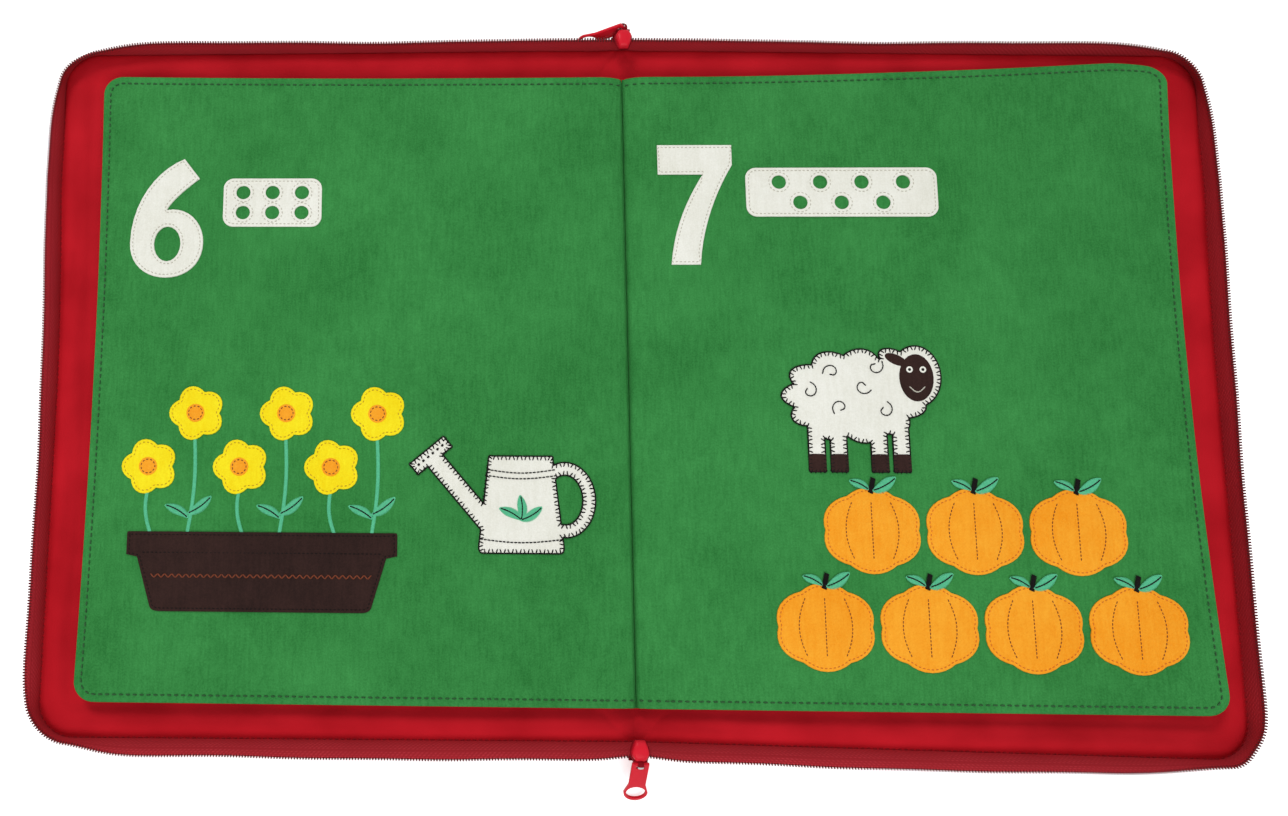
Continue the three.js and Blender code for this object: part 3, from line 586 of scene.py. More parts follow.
# %% Gutter margins
GUTTER_REACH = 12 * mm
PINCH_BOTTOM = 4.1 * mm
PINCH_LEAF = 2.4 * mm
ROLL_REACH = 1.6 * mm
ROLL_DROP = 2.4 * mm
gutter_columns = np.array([0.2, 0.6, 1.0, 1.5, 2.0, 2.6, 3.3, 4.2, 5.2, 6.4, 7.7, 9.0, 11.0, 12.8]) * mm
gutter_columns = np.append(gutter_columns, PAGE_INNER)
SEWN_GAP = 0.1 * mm


def pinched(side, x, y, flat, sewn):
    """The height of a margin that lies flat beside its page and comes down to sewn at the spine."""
    pinch = np.clip(1 - x / GUTTER_REACH, 0, 1) ** 2.4
    return (flat + ripple(side * x, y)) * (1 - pinch) + sewn * pinch


margins = {}
for leaf in range(1, 7):
    side, level = leaf_place(leaf)
    low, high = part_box(f"leaf_{leaf}_gutter")
    x, y, _ = rounded_grid(gutter_columns, page_rows, 1.0, PAGE_HALF, 0)
    edge = PAGE_HALF - np.abs(y)
    shrink = rounding(edge, FELT_RIM) + seam(edge)
    shrink = shrink + ROLL_DROP * np.clip(1 - x / ROLL_REACH, 0, 1) ** 2 * (level == 2)
    sewn = PINCH_BOTTOM + level * PINCH_LEAF
    top = pinched(side, x, y, high.z, sewn + PINCH_LEAF - SEWN_GAP) - shrink
    bottom = pinched(side, x, y, low.z, sewn) + shrink
    margins[leaf] = piece(f"leaf_{leaf}_margin", slab(x, y, top, bottom, side), GREEN_FELT)
print("margins:", len(margins))

# %% [markdown]
# Stitches repeat along a line, so Geometry Nodes lay them: the line becomes a curve, the curve is cut
# at the stitch pitch, and one short piece of thread is put on each point, turned along the line. The
# swing turns every other one back, which makes a zigzag. A reach stored on the line stretches each
# stitch, which makes satin embroidery. The zip's teeth use the same tree.

# %% Stitch tree
def stitch_tree():
    """The Geometry Nodes tree that lays one short piece after another along a line."""
    tree = bpy.data.node_groups.new("row of stitches", "GeometryNodeTree")
    kinds = {"Line": "Geometry", "Stitch": "Object", "Thread": "Material", "Pitch": "Float", "Lean": "Float",
             "Swing": "Float"}
    for name, kind in kinds.items():
        tree.interface.new_socket(name, in_out="INPUT", socket_type=f"NodeSocket{kind}")
    tree.interface.new_socket("Stitches", in_out="OUTPUT", socket_type="NodeSocketGeometry")
    given = node(tree, "NodeGroupInput").outputs
    curve = node(tree, "GeometryNodeMeshToCurve", {"Mesh": given["Line"]})
    points = node(tree, "GeometryNodeResampleCurve", {"Curve": curve.outputs[0]})
    points.mode = "LENGTH"
    tree.links.new(given["Pitch"], points.inputs["Length"])
    thread = node(tree, "GeometryNodeObjectInfo", {"Object": given["Stitch"]})
    tangent = node(tree, "GeometryNodeInputTangent")
    along = node(tree, "FunctionNodeAlignRotationToVector", {"Vector": tangent.outputs[0]}, axis="X",
                 pivot_axis="Z")
    number = node(tree, "GeometryNodeInputIndex")
    odd = node(tree, "ShaderNodeMath", {0: number.outputs[0], 1: 2.0}, operation="MODULO")
    sign = node(tree, "ShaderNodeMath", {0: odd.outputs[0], 1: 2.0, 2: -1.0}, operation="MULTIPLY_ADD")
    swing = node(tree, "ShaderNodeMath", {0: sign.outputs[0], 1: given["Swing"], 2: given["Lean"]},
                 operation="MULTIPLY_ADD")
    turn = node(tree, "FunctionNodeAxisAngleToRotation", {"Axis": (0, 0, 1), "Angle": swing.outputs[0]})
    turned = node(tree, "FunctionNodeRotateRotation", {0: along.outputs[0], 1: turn.outputs[0]},
                  rotation_space="LOCAL")
    reach = node(tree, "GeometryNodeInputNamedAttribute", {"Name": "reach"}, data_type="FLOAT")
    size = node(tree, "ShaderNodeCombineXYZ", {0: reach.outputs[0], 1: 1.0, 2: 1.0})
    laid = node(tree, "GeometryNodeInstanceOnPoints",
                {"Points": points.outputs[0], "Instance": thread.outputs["Geometry"],
                 "Rotation": turned.outputs[0], "Scale": size.outputs[0]})
    real = node(tree, "GeometryNodeRealizeInstances", {0: laid.outputs[0]})
    coloured = node(tree, "GeometryNodeSetMaterial",
                    {"Geometry": real.outputs[0], "Material": given["Thread"]})
    node(tree, "NodeGroupOutput", {0: coloured.outputs[0]})
    return tree


STITCH_ROW = stitch_tree()
print("stitch tree:", len(STITCH_ROW.nodes), "nodes")

# %% [markdown]
# The tree copies a short bar of thread with tapered ends, which has few faces, because there are
# thousands of stitches. Its result is turned into a plain mesh, since the export keeps no instances,
# and rows of different threads are joined to the felt that they are sewn to.

# %% Thread helpers
BAR_SIDES = 6


def bar(length, thickness, tilt=0.0, arch=0.35, end_width=0.3):
    """A short length of thread along X whose middle stands up, or a zip tooth tipped up by tilt along Y."""
    shares = [(-0.5, end_width, -0.5), (-0.36, 0.85, 0.3), (0, 1, 1), (0.36, 0.85, 0.3),
              (0.5, end_width, -0.5)]
    rings = []
    for place, width, lift in shares:
        ring = []
        for i in range(BAR_SIDES):
            angle = 2 * math.pi * i / BAR_SIDES
            across = width * thickness / 2 * math.cos(angle)
            up = width * thickness / 2 * math.sin(angle) + arch * thickness * lift
            if tilt:
                ring.append((across, place * length * math.cos(tilt) - up * math.sin(tilt),
                             place * length * math.sin(tilt) + up * math.cos(tilt)))
            else:
                ring.append((place * length, -across, up))
        rings.append(ring)
    made = bpy.data.objects.new("bar", loft(rings))
    scene.collection.objects.link(made)
    return made


def stitched(paths, stitch, thread, pitch, lean=0.0, swing=0.0):
    """The stitches along paths, as one mesh. A path is (points, closed) or (points, closed, reaches)."""
    points, edges, reaches = [], [], []
    for path, closed, *reach in paths:
        first, count = len(points), len(path)
        points += [tuple(p) for p in path]
        edges += [(first + i, first + i + 1) for i in range(count - 1)]
        if closed:
            edges.append((first + count - 1, first))
        reaches += list(reach[0]) if reach else [1.0] * count
    line = bpy.data.meshes.new("line")
    line.from_pydata(points, edges, [])
    line.attributes.new("reach", "FLOAT", "POINT").data.foreach_set("value", reaches)
    holder = bpy.data.objects.new("line", line)
    scene.collection.objects.link(holder)
    modifier = holder.modifiers.new("stitches", "NODES")
    modifier.node_group = STITCH_ROW
    values = {"Stitch": stitch, "Thread": thread, "Pitch": pitch, "Lean": lean, "Swing": swing}
    for item in STITCH_ROW.interface.items_tree:
        if item.in_out == "INPUT" and item.name in values:
            modifier[item.identifier] = values[item.name]
    bpy.context.view_layer.update()
    graph = bpy.context.evaluated_depsgraph_get()
    mesh = bpy.data.meshes.new_from_object(holder.evaluated_get(graph))
    bpy.data.objects.remove(holder)
    mesh.materials.clear()
    return mesh


def joined(name, *parts):
    """One object from (mesh, material) parts."""
    bm = bmesh.new()
    materials = []
    for mesh, material in parts:
        first = len(bm.faces)
        bm.from_mesh(mesh)
        if material not in materials:
            materials.append(material)
        bm.faces.ensure_lookup_table()
        for face in bm.faces[first:]:
            face.material_index = materials.index(material)
    return piece(name, finished(bm, name), *materials)


print("a piece of thread has", BAR_SIDES, "sides")

# %% [markdown]
# One row of stitches holds a leaf's two sheets together, and it shows on both pages. It follows the
# outline of the page, so it is laid out on the flat leaf and then moved with it. The two ends of the
# row cross the gutter margin, so there they are part of the margin and fold with it.

# %% Stitches round the leaves
SEAM_STITCH = bar(2.1 * mm, 0.75 * mm)
SEAM_LIFT = 0.12 * mm - SEAM_DEPTH
SEAM_START = PAGE_INNER + 1 * mm


def seam_line(side, height, z_sign):
    """The row of stitches round a page, from the head of its inner edge to the tail."""
    inset, corner = SEAM_INSET, PAGE_CORNER - SEAM_INSET
    middle = (PAGE_OUTER - PAGE_CORNER, PAGE_HALF - PAGE_CORNER)
    points = [(x, PAGE_HALF - inset) for x in np.linspace(SEAM_START, middle[0], 40)[:-1]]
    for end in (1, -1):
        for i in range(9):
            angle = math.pi / 2 * (1 - i / 8) if end > 0 else -math.pi / 2 * i / 8
            points.append((middle[0] + corner * math.cos(angle), end * middle[1] + corner * math.sin(angle)))
        if end > 0:
            points += [(PAGE_OUTER - inset, y) for y in np.linspace(middle[1], -middle[1], 50)[1:-1]]
    points += [(x, inset - PAGE_HALF) for x in np.linspace(middle[0], SEAM_START, 40)[1:]]
    x, y = lying(side, *np.array(points).T)
    z = height + z_sign * SEAM_LIFT + ripple(side * x, y)
    return np.stack([side * x, y, z], -1).tolist()


for leaf in range(1, 7):
    side, level = leaf_place(leaf)
    upper, lower = (2 * leaf, 2 * leaf - 1) if side < 0 else (2 * leaf - 1, 2 * leaf)
    for page, height, z_sign in ((upper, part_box(f"page_{upper}_felt")[1].z, 1),
                                 (lower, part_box(f"page_{lower}_felt")[0].z, -1)):
        row = stitched([(seam_line(side, height, z_sign), False)], SEAM_STITCH, GREEN_THREAD, STITCH_PITCH)
        made = piece(f"page_{page}_seam", row, GREEN_THREAD)
        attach(made, f"leaf_{leaf}")
    rows = []
    for end in (1, -1):
        x = np.linspace(PAGE_INNER - 1.5 * mm, 2.2 * mm, 16)
        sewn = PINCH_BOTTOM + (level + 1) * PINCH_LEAF - SEWN_GAP
        z = pinched(side, x, end * PAGE_HALF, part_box(f"leaf_{leaf}_gutter")[1].z, sewn) + SEAM_LIFT
        y = np.full_like(x, end * (PAGE_HALF - SEAM_INSET))
        rows.append((np.stack([side * x, y, z], -1).tolist(), False))
    rows = stitched(rows, SEAM_STITCH, GREEN_THREAD, STITCH_PITCH)
    plain_margin = margins[leaf]
    margins[leaf] = joined(f"leaf_{leaf}_sewn_margin", (plain_margin.data, GREEN_FELT), (rows, GREEN_THREAD))
    bpy.data.objects.remove(plain_margin)
    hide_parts(f"leaf_{leaf}_gutter")
    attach(margins[leaf], f"leaf_{leaf}")
    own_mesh(margins[leaf])
    for page in (upper, lower):
        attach(pages[page], f"leaf_{leaf}")
print("leaves sewn")

# %% [markdown]
# The case is soft as well, so it doesn't lie as square as its pattern. In the photograph its right half
# is turned a little towards the foot and narrower there, its head edge is stretched, and its head
# corners are spread. One function moves every point of the case in that way.

# %% How the case lies
CASE_OUT = {-1: -1.4 * mm, 1: 1.2 * mm}
CASE_SLIP = {-1: 1.5 * mm, 1: 4.5 * mm}
HEAD_STRETCH = 3.5 * mm
HEAD_WIDENS = 3.6 * mm
FOOT_NARROWS = {-1: 0, 1: 2.6 * mm}


def case_lying(side, x, y):
    """Where a point of the flat case lies; x counts outwards from the spine."""
    out = np.clip(x / CASE_OUTER, 0, 1)
    head, foot = np.clip(y / CASE_HALF, 0, 1), np.clip(-y / CASE_HALF, 0, 1)
    widens = HEAD_WIDENS * np.clip(head / 0.6, 0, 1) ** 1.5 - FOOT_NARROWS[side] * foot
    return x + (CASE_OUT[side] + widens) * out ** 3, y + HEAD_STRETCH * head ** 3 - CASE_SLIP[side] * out


print("the right half slips", round(CASE_SLIP[1] / mm, 1), "mm towards the foot")

# %% [markdown]
# The outer cloth wraps thin foam, so a cover is a soft board with a round edge and a raised lip where
# the zip tape is sewn on. Each half runs to the middle of the spine.

# %% Padded covers
COVER_TOP = foam_high.z + 0.1 * mm
COVER_RIM = 1.5 * mm
LIP_HEIGHT = 1.15 * mm
LIP_WIDTH = 1.3 * mm
COVER_EDGE = np.array([0, 0.15, 0.5, 0.9, 1.3, 1.7, 2.4, 4.0]) * mm
HINGE_STRETCH = (9.7 * mm, 16.2 * mm, 0.5 * mm)


def case_grid(step, edge_lines, *stretches):
    """Grid points of half the case, close together at its edge and at the hinge."""
    columns = with_edges(spaced(0, CASE_OUTER, step, HINGE_STRETCH, *stretches), None, CASE_OUTER, edge_lines)
    rows = with_edges(spaced(-CASE_HALF, CASE_HALF, step), -CASE_HALF, CASE_HALF, edge_lines)
    columns[0] = 0
    return rounded_grid(columns, rows, CASE_OUTER, CASE_HALF, SEWN_CORNER)


for name, side in SIDES.items():
    cover = COVER[name]
    x, y, edge = case_grid(6 * mm, COVER_EDGE)
    drop = rounding(edge, COVER_RIM)
    lip = LIP_HEIGHT * np.clip((LIP_WIDTH - edge) / (0.5 * mm), 0, 1)
    top = COVER_TOP + lip - np.where(edge < 0.1 * mm, 0.25 * mm, 0)
    x, y = case_lying(side, x, y)
    made = piece(f"{cover}_cover_cloth", slab(x, y, top, drop, side), OUTER_CLOTH)
    nodes = [f"{cover}_cover_shell", f"{cover}_cover_foam"]
    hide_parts(*nodes, *(["spine_shell", "spine_foam"] if side > 0 else []))
    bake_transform(made)
print("covers", round(COVER_TOP / mm, 2), "mm thick")

# %% [markdown]
# The satin lining is laid over the foam and caught in the seam of the tape. Between the leaves and
# the tape it swells into a low soft channel. Slow waves along it give the long lights of satin, and
# it gathers into pleats at the head and tail of the spine, where the sliders are parked.

# %% Lining
CHANNEL_WIDTH = 15 * mm
CHANNEL_RISE = 2.4 * mm
SEAM_GROOVE = 1.5 * mm
GROOVE_FADES = (120 * mm, 150 * mm)
PLEAT_DEPTH = 1.0 * mm
LINING_EDGE = np.array([0, 0.4, 1, 1.8, 2.8, 4, 5.2, 6.4, 7.6, 8.8, 10, 11.2, 12.4, 13.6, 15, 16.5]) * mm
PLEAT_REACH = 15 * mm
PLEAT_PLACE = 10 * mm
CLEAR_OF_LEAVES = (14 * mm, 16 * mm)
LINING_INSET = 0.8 * mm


def lining_height(x, y, edge):
    """How far the lining swells, creases and pleats above the foam."""
    fading = (y - GROOVE_FADES[0]) / (GROOVE_FADES[1] - GROOVE_FADES[0])
    groove = SEAM_GROOVE * np.clip(1 - fading, 0.2, 1)
    across = np.clip((edge - groove) / (CHANNEL_WIDTH - groove), 0, 1)
    swell = CHANNEL_RISE * np.sin(math.pi * across ** 0.62)
    run = x + 1.7 * y
    creases = 0.2 * mm * np.sin(edge / (1.6 * mm) + 2.2 * np.sin(run / (37 * mm))) * np.sin(math.pi * across)
    puckers = 0.14 * mm * np.sin(run / (2.9 * mm) + np.sin(run / (17 * mm))) * np.exp(-edge / (2.5 * mm))
    end = CASE_HALF + 1 * mm - np.abs(y)
    away = np.hypot(x, end)
    fan = np.arctan2(x, np.maximum(end, 0.5 * mm))
    valleys = np.abs(np.sin(3.4 * fan + np.where(y < 0, 0.5, 1.1))) ** 0.5 - 1
    fading = np.exp(-((away - PLEAT_PLACE) / PLEAT_REACH) ** 2)
    pleats = PLEAT_DEPTH * valleys * fading * np.clip(away / (6 * mm), 0, 1)
    return np.maximum(swell + creases + puckers + pleats * (end < 30 * mm), 0.05 * mm)


for name, side in SIDES.items():
    cover = COVER[name]
    x, y, edge = case_grid(3.2 * mm, LINING_EDGE, (0, 9.2 * mm, 0.5 * mm), (16.7 * mm, 30 * mm, 0.9 * mm))
    under_leaves = np.clip((edge - CLEAR_OF_LEAVES[0]) / (CLEAR_OF_LEAVES[1] - CLEAR_OF_LEAVES[0]), 0, 1)
    height = lining_height(x, y, edge) * (1 - under_leaves)
    top = lining_high.z + height
    bottom = np.full_like(top, lining_low.z + 0.15 * mm)
    x = np.minimum(x, CASE_OUTER - LINING_INSET)
    y = np.clip(y, LINING_INSET - CASE_HALF, CASE_HALF - LINING_INSET)
    x, y = case_lying(side, x, y)
    made = piece(f"{cover}_lining", slab(x, y, top, bottom, side), LINING_SATIN)
    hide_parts(f"{cover}_cover_lining", *(["spine_lining"] if side > 0 else []))
    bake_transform(made)
print("lining swells", round(CHANNEL_RISE / mm, 1), "mm")

# %% [markdown]
# The zip tape stands up from the edge of the covers and leans out, as a stiff tape does when the zip
# is open. It follows stations along the case's edge, from the spine at the head to the spine at the
# foot. Its free edge has slow waves and leans differently on each side: most at the foot, and hardly
# at all at the head and on the right. Round a corner it is too short to lean out, so it is drawn in.

# %% Edge of the case
TAPE_WAVE = 0.45 * mm
BENDING_STRETCH = (0, 40 * mm, 1 * mm)
WAVE_STARTS, WAVE_FULL = 20 * mm, 80 * mm
# At the head and foot corner of each half, in mm: how far the tape is drawn in there, over what
# length before and after, and how far past the middle of the corner this is strongest.
CORNER_PULL = {-1: ((5.6, 22, 22, 0), (5.4, 20, 20, 8)), 1: ((4.8, 22, 22, 0), (4.9, 12, 38, 4))}
HEAD_LEAN, FOOT_LEAN = -4.6 * mm, 1.8 * mm
SLIDER_REACH = 14 * mm
SIDE_LEAN = {-1: -1.2 * mm, 1: -5.0 * mm}


def edge_stations(step):
    """Places along the case's edge from head to tail: x, y, outward direction and length so far."""
    head = [(x, CASE_HALF, 0, 1) for x in spaced(0, CASE_OUTER - SEWN_CORNER, step, BENDING_STRETCH)[:-1]]
    for t in np.linspace(0, math.pi / 2, 18):
        head.append((CASE_OUTER - SEWN_CORNER * (1 - math.sin(t)),
                     CASE_HALF - SEWN_CORNER * (1 - math.cos(t)), math.sin(t), math.cos(t)))
    foot = [(x, -y, out_x, -out_y) for x, y, out_x, out_y in head[::-1]]
    down = np.linspace(CASE_HALF - SEWN_CORNER, SEWN_CORNER - CASE_HALF, round(2 * CASE_HALF / step))
    places = np.array(head + [(CASE_OUTER, y, 1, 0) for y in down[1:-1]] + foot)
    run = np.concatenate([[0], np.cumsum(np.hypot(*np.diff(places[:, :2], axis=0).T))])
    return places, run


stations, station_run = edge_stations(3 * mm)


def free_edge(side, run, share):
    """How far the tape's free edge leans and wanders out and up; its foot stays where it is."""
    total = station_run[-1]
    at_slider = np.exp(-(stations[:, 0] / SLIDER_REACH) ** 2)
    facing = np.where(stations[:, 3] > 0, HEAD_LEAN, FOOT_LEAN * (1 - at_slider)) * stations[:, 3] ** 2
    facing = facing + SIDE_LEAN[side] * stations[:, 2] ** 2
    facing = facing.reshape((-1,) + (1,) * (np.ndim(run) - 1))
    from_end = np.minimum(run, total - run)
    fade = np.clip((from_end - WAVE_STARTS) / (WAVE_FULL - WAVE_STARTS), 0, 1)
    out = TAPE_WAVE * np.sin(run / (29 * mm) + 0.8) + 0.4 * TAPE_WAVE * np.sin(run / (11 * mm))
    up = 0.6 * TAPE_WAVE * np.sin(run / (37 * mm) + 2.1)
    to_corner = CASE_OUTER - SEWN_CORNER * (1 - math.pi / 4)
    drawn_in = 0
    for middle, (pull, before, after, past) in zip((to_corner, total - to_corner), CORNER_PULL[side]):
        away = (run - middle) / mm - past
        drawn_in = drawn_in + pull * mm * np.exp(-(away / np.where(away < 0, before, after)) ** 2)
    return (out * fade + facing - drawn_in) * share ** 1.5, up * fade * share ** 1.5


print("tape", round(station_run[-1] / mm), "mm long, at", len(stations), "stations")

# %% [markdown]
# The section of the tape is one smooth curve from its seam up to the teeth, and the tape's surface is
# that curve carried from station to station, offset by half its thickness to each side.

# %% Tape section
TAPE_FOOT = (-0.5 * mm, 3.9 * mm)
TAPE_THICKNESS = 0.6 * mm
COIL_REACH = COIL_LINE - CASE_HALF
TIP_ANGLE = math.radians(48)
TIP_GAP = 0.1 * mm
TAPE_STEPS = 12


def bezier(points, t):
    """Points of a cubic curve through its four control points."""
    a, b, c, d = (np.array(p)[None, :] for p in points)
    t = t[:, None]
    return a * (1 - t) ** 3 + 3 * b * t * (1 - t) ** 2 + 3 * c * t ** 2 * (1 - t) + d * t ** 3


tape_tip = (COIL_REACH - TIP_GAP * math.cos(TIP_ANGLE), COIL_HEIGHT - TIP_GAP * math.sin(TIP_ANGLE))
tape_rise = tape_tip[1] - TAPE_FOOT[1]
section = bezier([TAPE_FOOT, (TAPE_FOOT[0], TAPE_FOOT[1] + 0.4 * tape_rise),
                  (tape_tip[0] - 0.25 * tape_rise * math.cos(TIP_ANGLE),
                   tape_tip[1] - 0.25 * tape_rise * math.sin(TIP_ANGLE)), tape_tip],
                 np.linspace(0, 1, TAPE_STEPS + 1))
bend = np.gradient(section, axis=0)
bend /= np.linalg.norm(bend, axis=1)[:, None]
section_run = np.concatenate([[0], np.cumsum(np.linalg.norm(np.diff(section, axis=0), axis=1))])


def tape_surface(side, offset):
    """Points of the tape's surface, offset to its outer side."""
    share = np.linspace(0, 1, TAPE_STEPS + 1)[None, :]
    out, up = free_edge(side, station_run[:, None] + 0 * share, share)
    reach = section[None, :, 0] + bend[None, :, 1] * offset + out
    height = section[None, :, 1] - bend[None, :, 0] * offset + up
    foot_x, foot_y = case_lying(side, stations[:, 0], stations[:, 1])
    x = foot_x[:, None] + stations[:, 2, None] * reach
    y = foot_y[:, None] + stations[:, 3, None] * reach
    return np.stack([x, y, height], -1)


print("tape", round(section_run[-1] / mm, 1), "mm wide")

# %% [markdown]
# The tape is a closed ribbon between its outer and its inner surface. Its UV map holds real lengths,
# so that the twill follows it. A row of dark red stitches joins it to the cover.

# %% Zip tape
TAPE_SEAM = (-1.15 * mm, 4.0 * mm)
TAPE_STITCH_PITCH = 2.7 * mm


def tape_mesh(side):
    """The tape as a closed ribbon, with a UV map in metres along and across it."""
    outer, inner = tape_surface(side, TAPE_THICKNESS / 2), tape_surface(side, -TAPE_THICKNESS / 2)
    count, width = outer.shape[:2]
    points = np.concatenate([outer, inner], axis=1)
    around = 2 * width
    # The left half is a mirror image, so its faces run the other way round to point outwards.
    order = (list(range(width)) + list(range(around - 1, width - 1, -1)))[::side]
    faces, uvs = [], []
    for s in range(count - 1):
        for k in range(around):
            a, b = order[k], order[(k + 1) % around]
            faces.append((s * around + a, s * around + b, (s + 1) * around + b, (s + 1) * around + a))
            v = [section_run[a % width], section_run[b % width]]
            uvs += [(station_run[s], v[0]), (station_run[s], v[1]), (station_run[s + 1], v[1]),
                    (station_run[s + 1], v[0])]
    for s, flip in ((0, True), (count - 1, False)):
        cap = [s * around + k for k in order]
        faces.append(tuple(cap[::-1] if flip else cap))
        uvs += [(0, 0)] * around
    mesh = bpy.data.meshes.new("tape")
    mesh.from_pydata((points.reshape(-1, 3) * (side, 1, 1)).tolist(), [], faces)
    layer = mesh.uv_layers.new(name="metres")
    layer.data.foreach_set("uv", np.array(uvs, dtype=float).ravel())
    return mesh


for name, side in SIDES.items():
    cover = COVER[name]
    mesh = tape_mesh(side)
    bm = bmesh.new()
    bm.from_mesh(mesh)
    print(cover, "tape volume, cubic mm:", round(bm.calc_volume(signed=True) / mm ** 3))
    bm.free()
    made = piece(f"{cover}_tape", mesh, ZIP_TWILL)
    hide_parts(f"{cover}_zip_tape", f"upper_{name}_tape_end", f"lower_{name}_tape_end")
    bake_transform(made)
    x, y = case_lying(side, stations[1:-1, 0], stations[1:-1, 1])
    seam_path = np.stack([side * (x + stations[1:-1, 2] * TAPE_SEAM[0]), y + stations[1:-1, 3] * TAPE_SEAM[0],
                          np.full_like(x, TAPE_SEAM[1])], -1)
    row = stitched([(seam_path.tolist(), False)], SEAM_STITCH, RED_THREAD, TAPE_STITCH_PITCH)
    made = piece(f"{cover}_tape_seam", row, RED_THREAD)
    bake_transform(made)
print("stitches of the tape", round(TAPE_STITCH_PITCH / mm, 1), "mm apart")

# %% [markdown]
# A number 5 coil zip has a tooth every 1.28 mm. Each is a small rounded bar of nylon across the
# tape's edge, which shows as fine spikes along the outline of the case.

# %% Zip teeth
TOOTH_PITCH = 1.28 * mm
TOOTH_LENGTH = 1.9 * mm
TOOTH_WIDTH = 0.85 * mm
for name, side in SIDES.items():
    cover = COVER[name]
    tooth = bar(TOOTH_LENGTH, TOOTH_WIDTH, tilt=TIP_ANGLE if side > 0 else math.pi - TIP_ANGLE, arch=0,
                end_width=0.65)
    out, up = free_edge(side, station_run, 1.0)
    x, y = case_lying(side, stations[:, 0], stations[:, 1])
    line = np.stack([side * (x + stations[:, 2] * (COIL_REACH + out)),
                     y + stations[:, 3] * (COIL_REACH + out), COIL_HEIGHT + up], -1)
    row = stitched([(line.tolist(), False)], tooth, NYLON, TOOTH_PITCH)
    made = piece(f"{cover}_teeth", row, NYLON)
    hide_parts(f"{cover}_zip_coil")
    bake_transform(made)
    print(cover, "teeth:", round(station_run[-1] / TOOTH_PITCH))

# %% [markdown]
# The leaves are sewn to a narrow strip of the same green that stands on the spine. It is seen only as
# the dark line at the bottom of the gutter.

# %% Binding strip
BINDING_SHARE = 0.6
BINDING_TOP = 8.6 * mm
binding_low, binding_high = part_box("binding_strip")
xs = np.array([binding_low.x * BINDING_SHARE, 0, binding_high.x * BINDING_SHARE])
ys = spaced(binding_low.y, binding_high.y, 8 * mm)
x, y = np.meshgrid(xs, ys, indexing="ij")
top = np.full_like(x, BINDING_TOP)
made = piece("binding", slab(x, y, top, np.full_like(x, binding_low.z)), GREEN_FELT)
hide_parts("binding_strip")
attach(made, "spine")
print("binding", round(binding_high.y * 2 / mm), "mm long")

# %% [markdown]
# A slider is two plates joined by a neck, with a crown over the top plate and a loop for the pull. It
# is built in its own space, with the zip along X and outwards along Y. The lower plate, the neck and
# the root of the crown are cast blocks, so a box with rounded edges is enough for each.

# %% Slider blocks
SLIDER_HALF = 4.3 * mm
SLIDER_INNER = -7.2 * mm
SLIDER_OUTER = 2.3 * mm
PLATE_LOW, PLATE_HIGH = 1.4 * mm, 2.6 * mm
NECK_HALF = 3.0 * mm
ROOT_HALF = 3.2 * mm
ROOT_OUTER = 2.75 * mm
ROOT_TOP = 3.0 * mm


def rounded(bm, edges, radius):
    """Rounds edges of a bmesh, as far as the shape leaves room."""
    bmesh.ops.bevel(bm, geom=edges, offset=radius, segments=3, affect="EDGES", profile=0.5,
                    clamp_overlap=True)


def rounded_block(low, high, radius):
    """A box between two corners with rounded edges."""
    bm = bmesh.new()
    bmesh.ops.create_cube(bm, size=1)
    low, high = Vector(low), Vector(high)
    for v in bm.verts:
        v.co = Vector([lo + (c + 0.5) * (hi - lo) for c, lo, hi in zip(v.co, low, high)])
    rounded(bm, bm.edges[:], radius)
    return finished(bm, "block")


print("slider", round(SLIDER_HALF * 2 / mm, 1), "mm wide")

# %% [markdown]
# The crown is a six-sided shield, widest past its middle. It is lofted: a rounded arch whose width and
# height change along the crown, and the top plate below it has the same outline. The loop is a round
# bar bent into a ring. Its worn arc is the same ring again, a little thicker, in bare metal.

# %% Slider crown and loop
CROWN_HALF = 3.8 * mm
CROWN_RISE = 3.0 * mm
# How far along the crown, and its width and height there.
CROWN_SHARES = [(0.0, 0.50, 0.35), (0.04, 0.58, 0.62), (0.12, 0.66, 0.86), (0.3, 0.83, 0.98),
                (0.5, 0.96, 1.0), (0.6, 1.0, 1.0), (0.7, 0.96, 1.0), (0.82, 0.82, 0.94),
                (0.92, 0.66, 0.78), (0.97, 0.56, 0.55), (1.0, 0.46, 0.28)]
CROWN_INSET, CROWN_SHORTER = 0.1 * mm, 0.3 * mm
BAIL_RADIUS = 1.55 * mm
BAIL_BAR = 0.4 * mm
BAIL_HALF = 1.2 * mm
BAIL_OUT, BAIL_UP = 3.5 * mm, 3.0 * mm
WORN_ARC = (-50, 60)
WEAR = 0.04 * mm


def top_plate_mesh():
    """The top plate, shaped like the crown above it and a little wider, with rounded sides."""
    rings = []
    for place, width, _ in CROWN_SHARES:
        y = SLIDER_INNER + place * (SLIDER_OUTER - SLIDER_INNER)
        half = SLIDER_HALF * min(1.0, width * 1.08)
        ring = []
        for i in range(24):
            angle = 2 * math.pi * i / 24
            x = math.copysign(abs(math.cos(angle)) ** 0.3, math.cos(angle)) * half
            z = math.copysign(abs(math.sin(angle)) ** 0.6, math.sin(angle))
            ring.append((x, y, (PLATE_LOW + PLATE_HIGH) / 2 + z * (PLATE_HIGH - PLATE_LOW) / 2))
        rings.append(ring)
    return loft(rings)


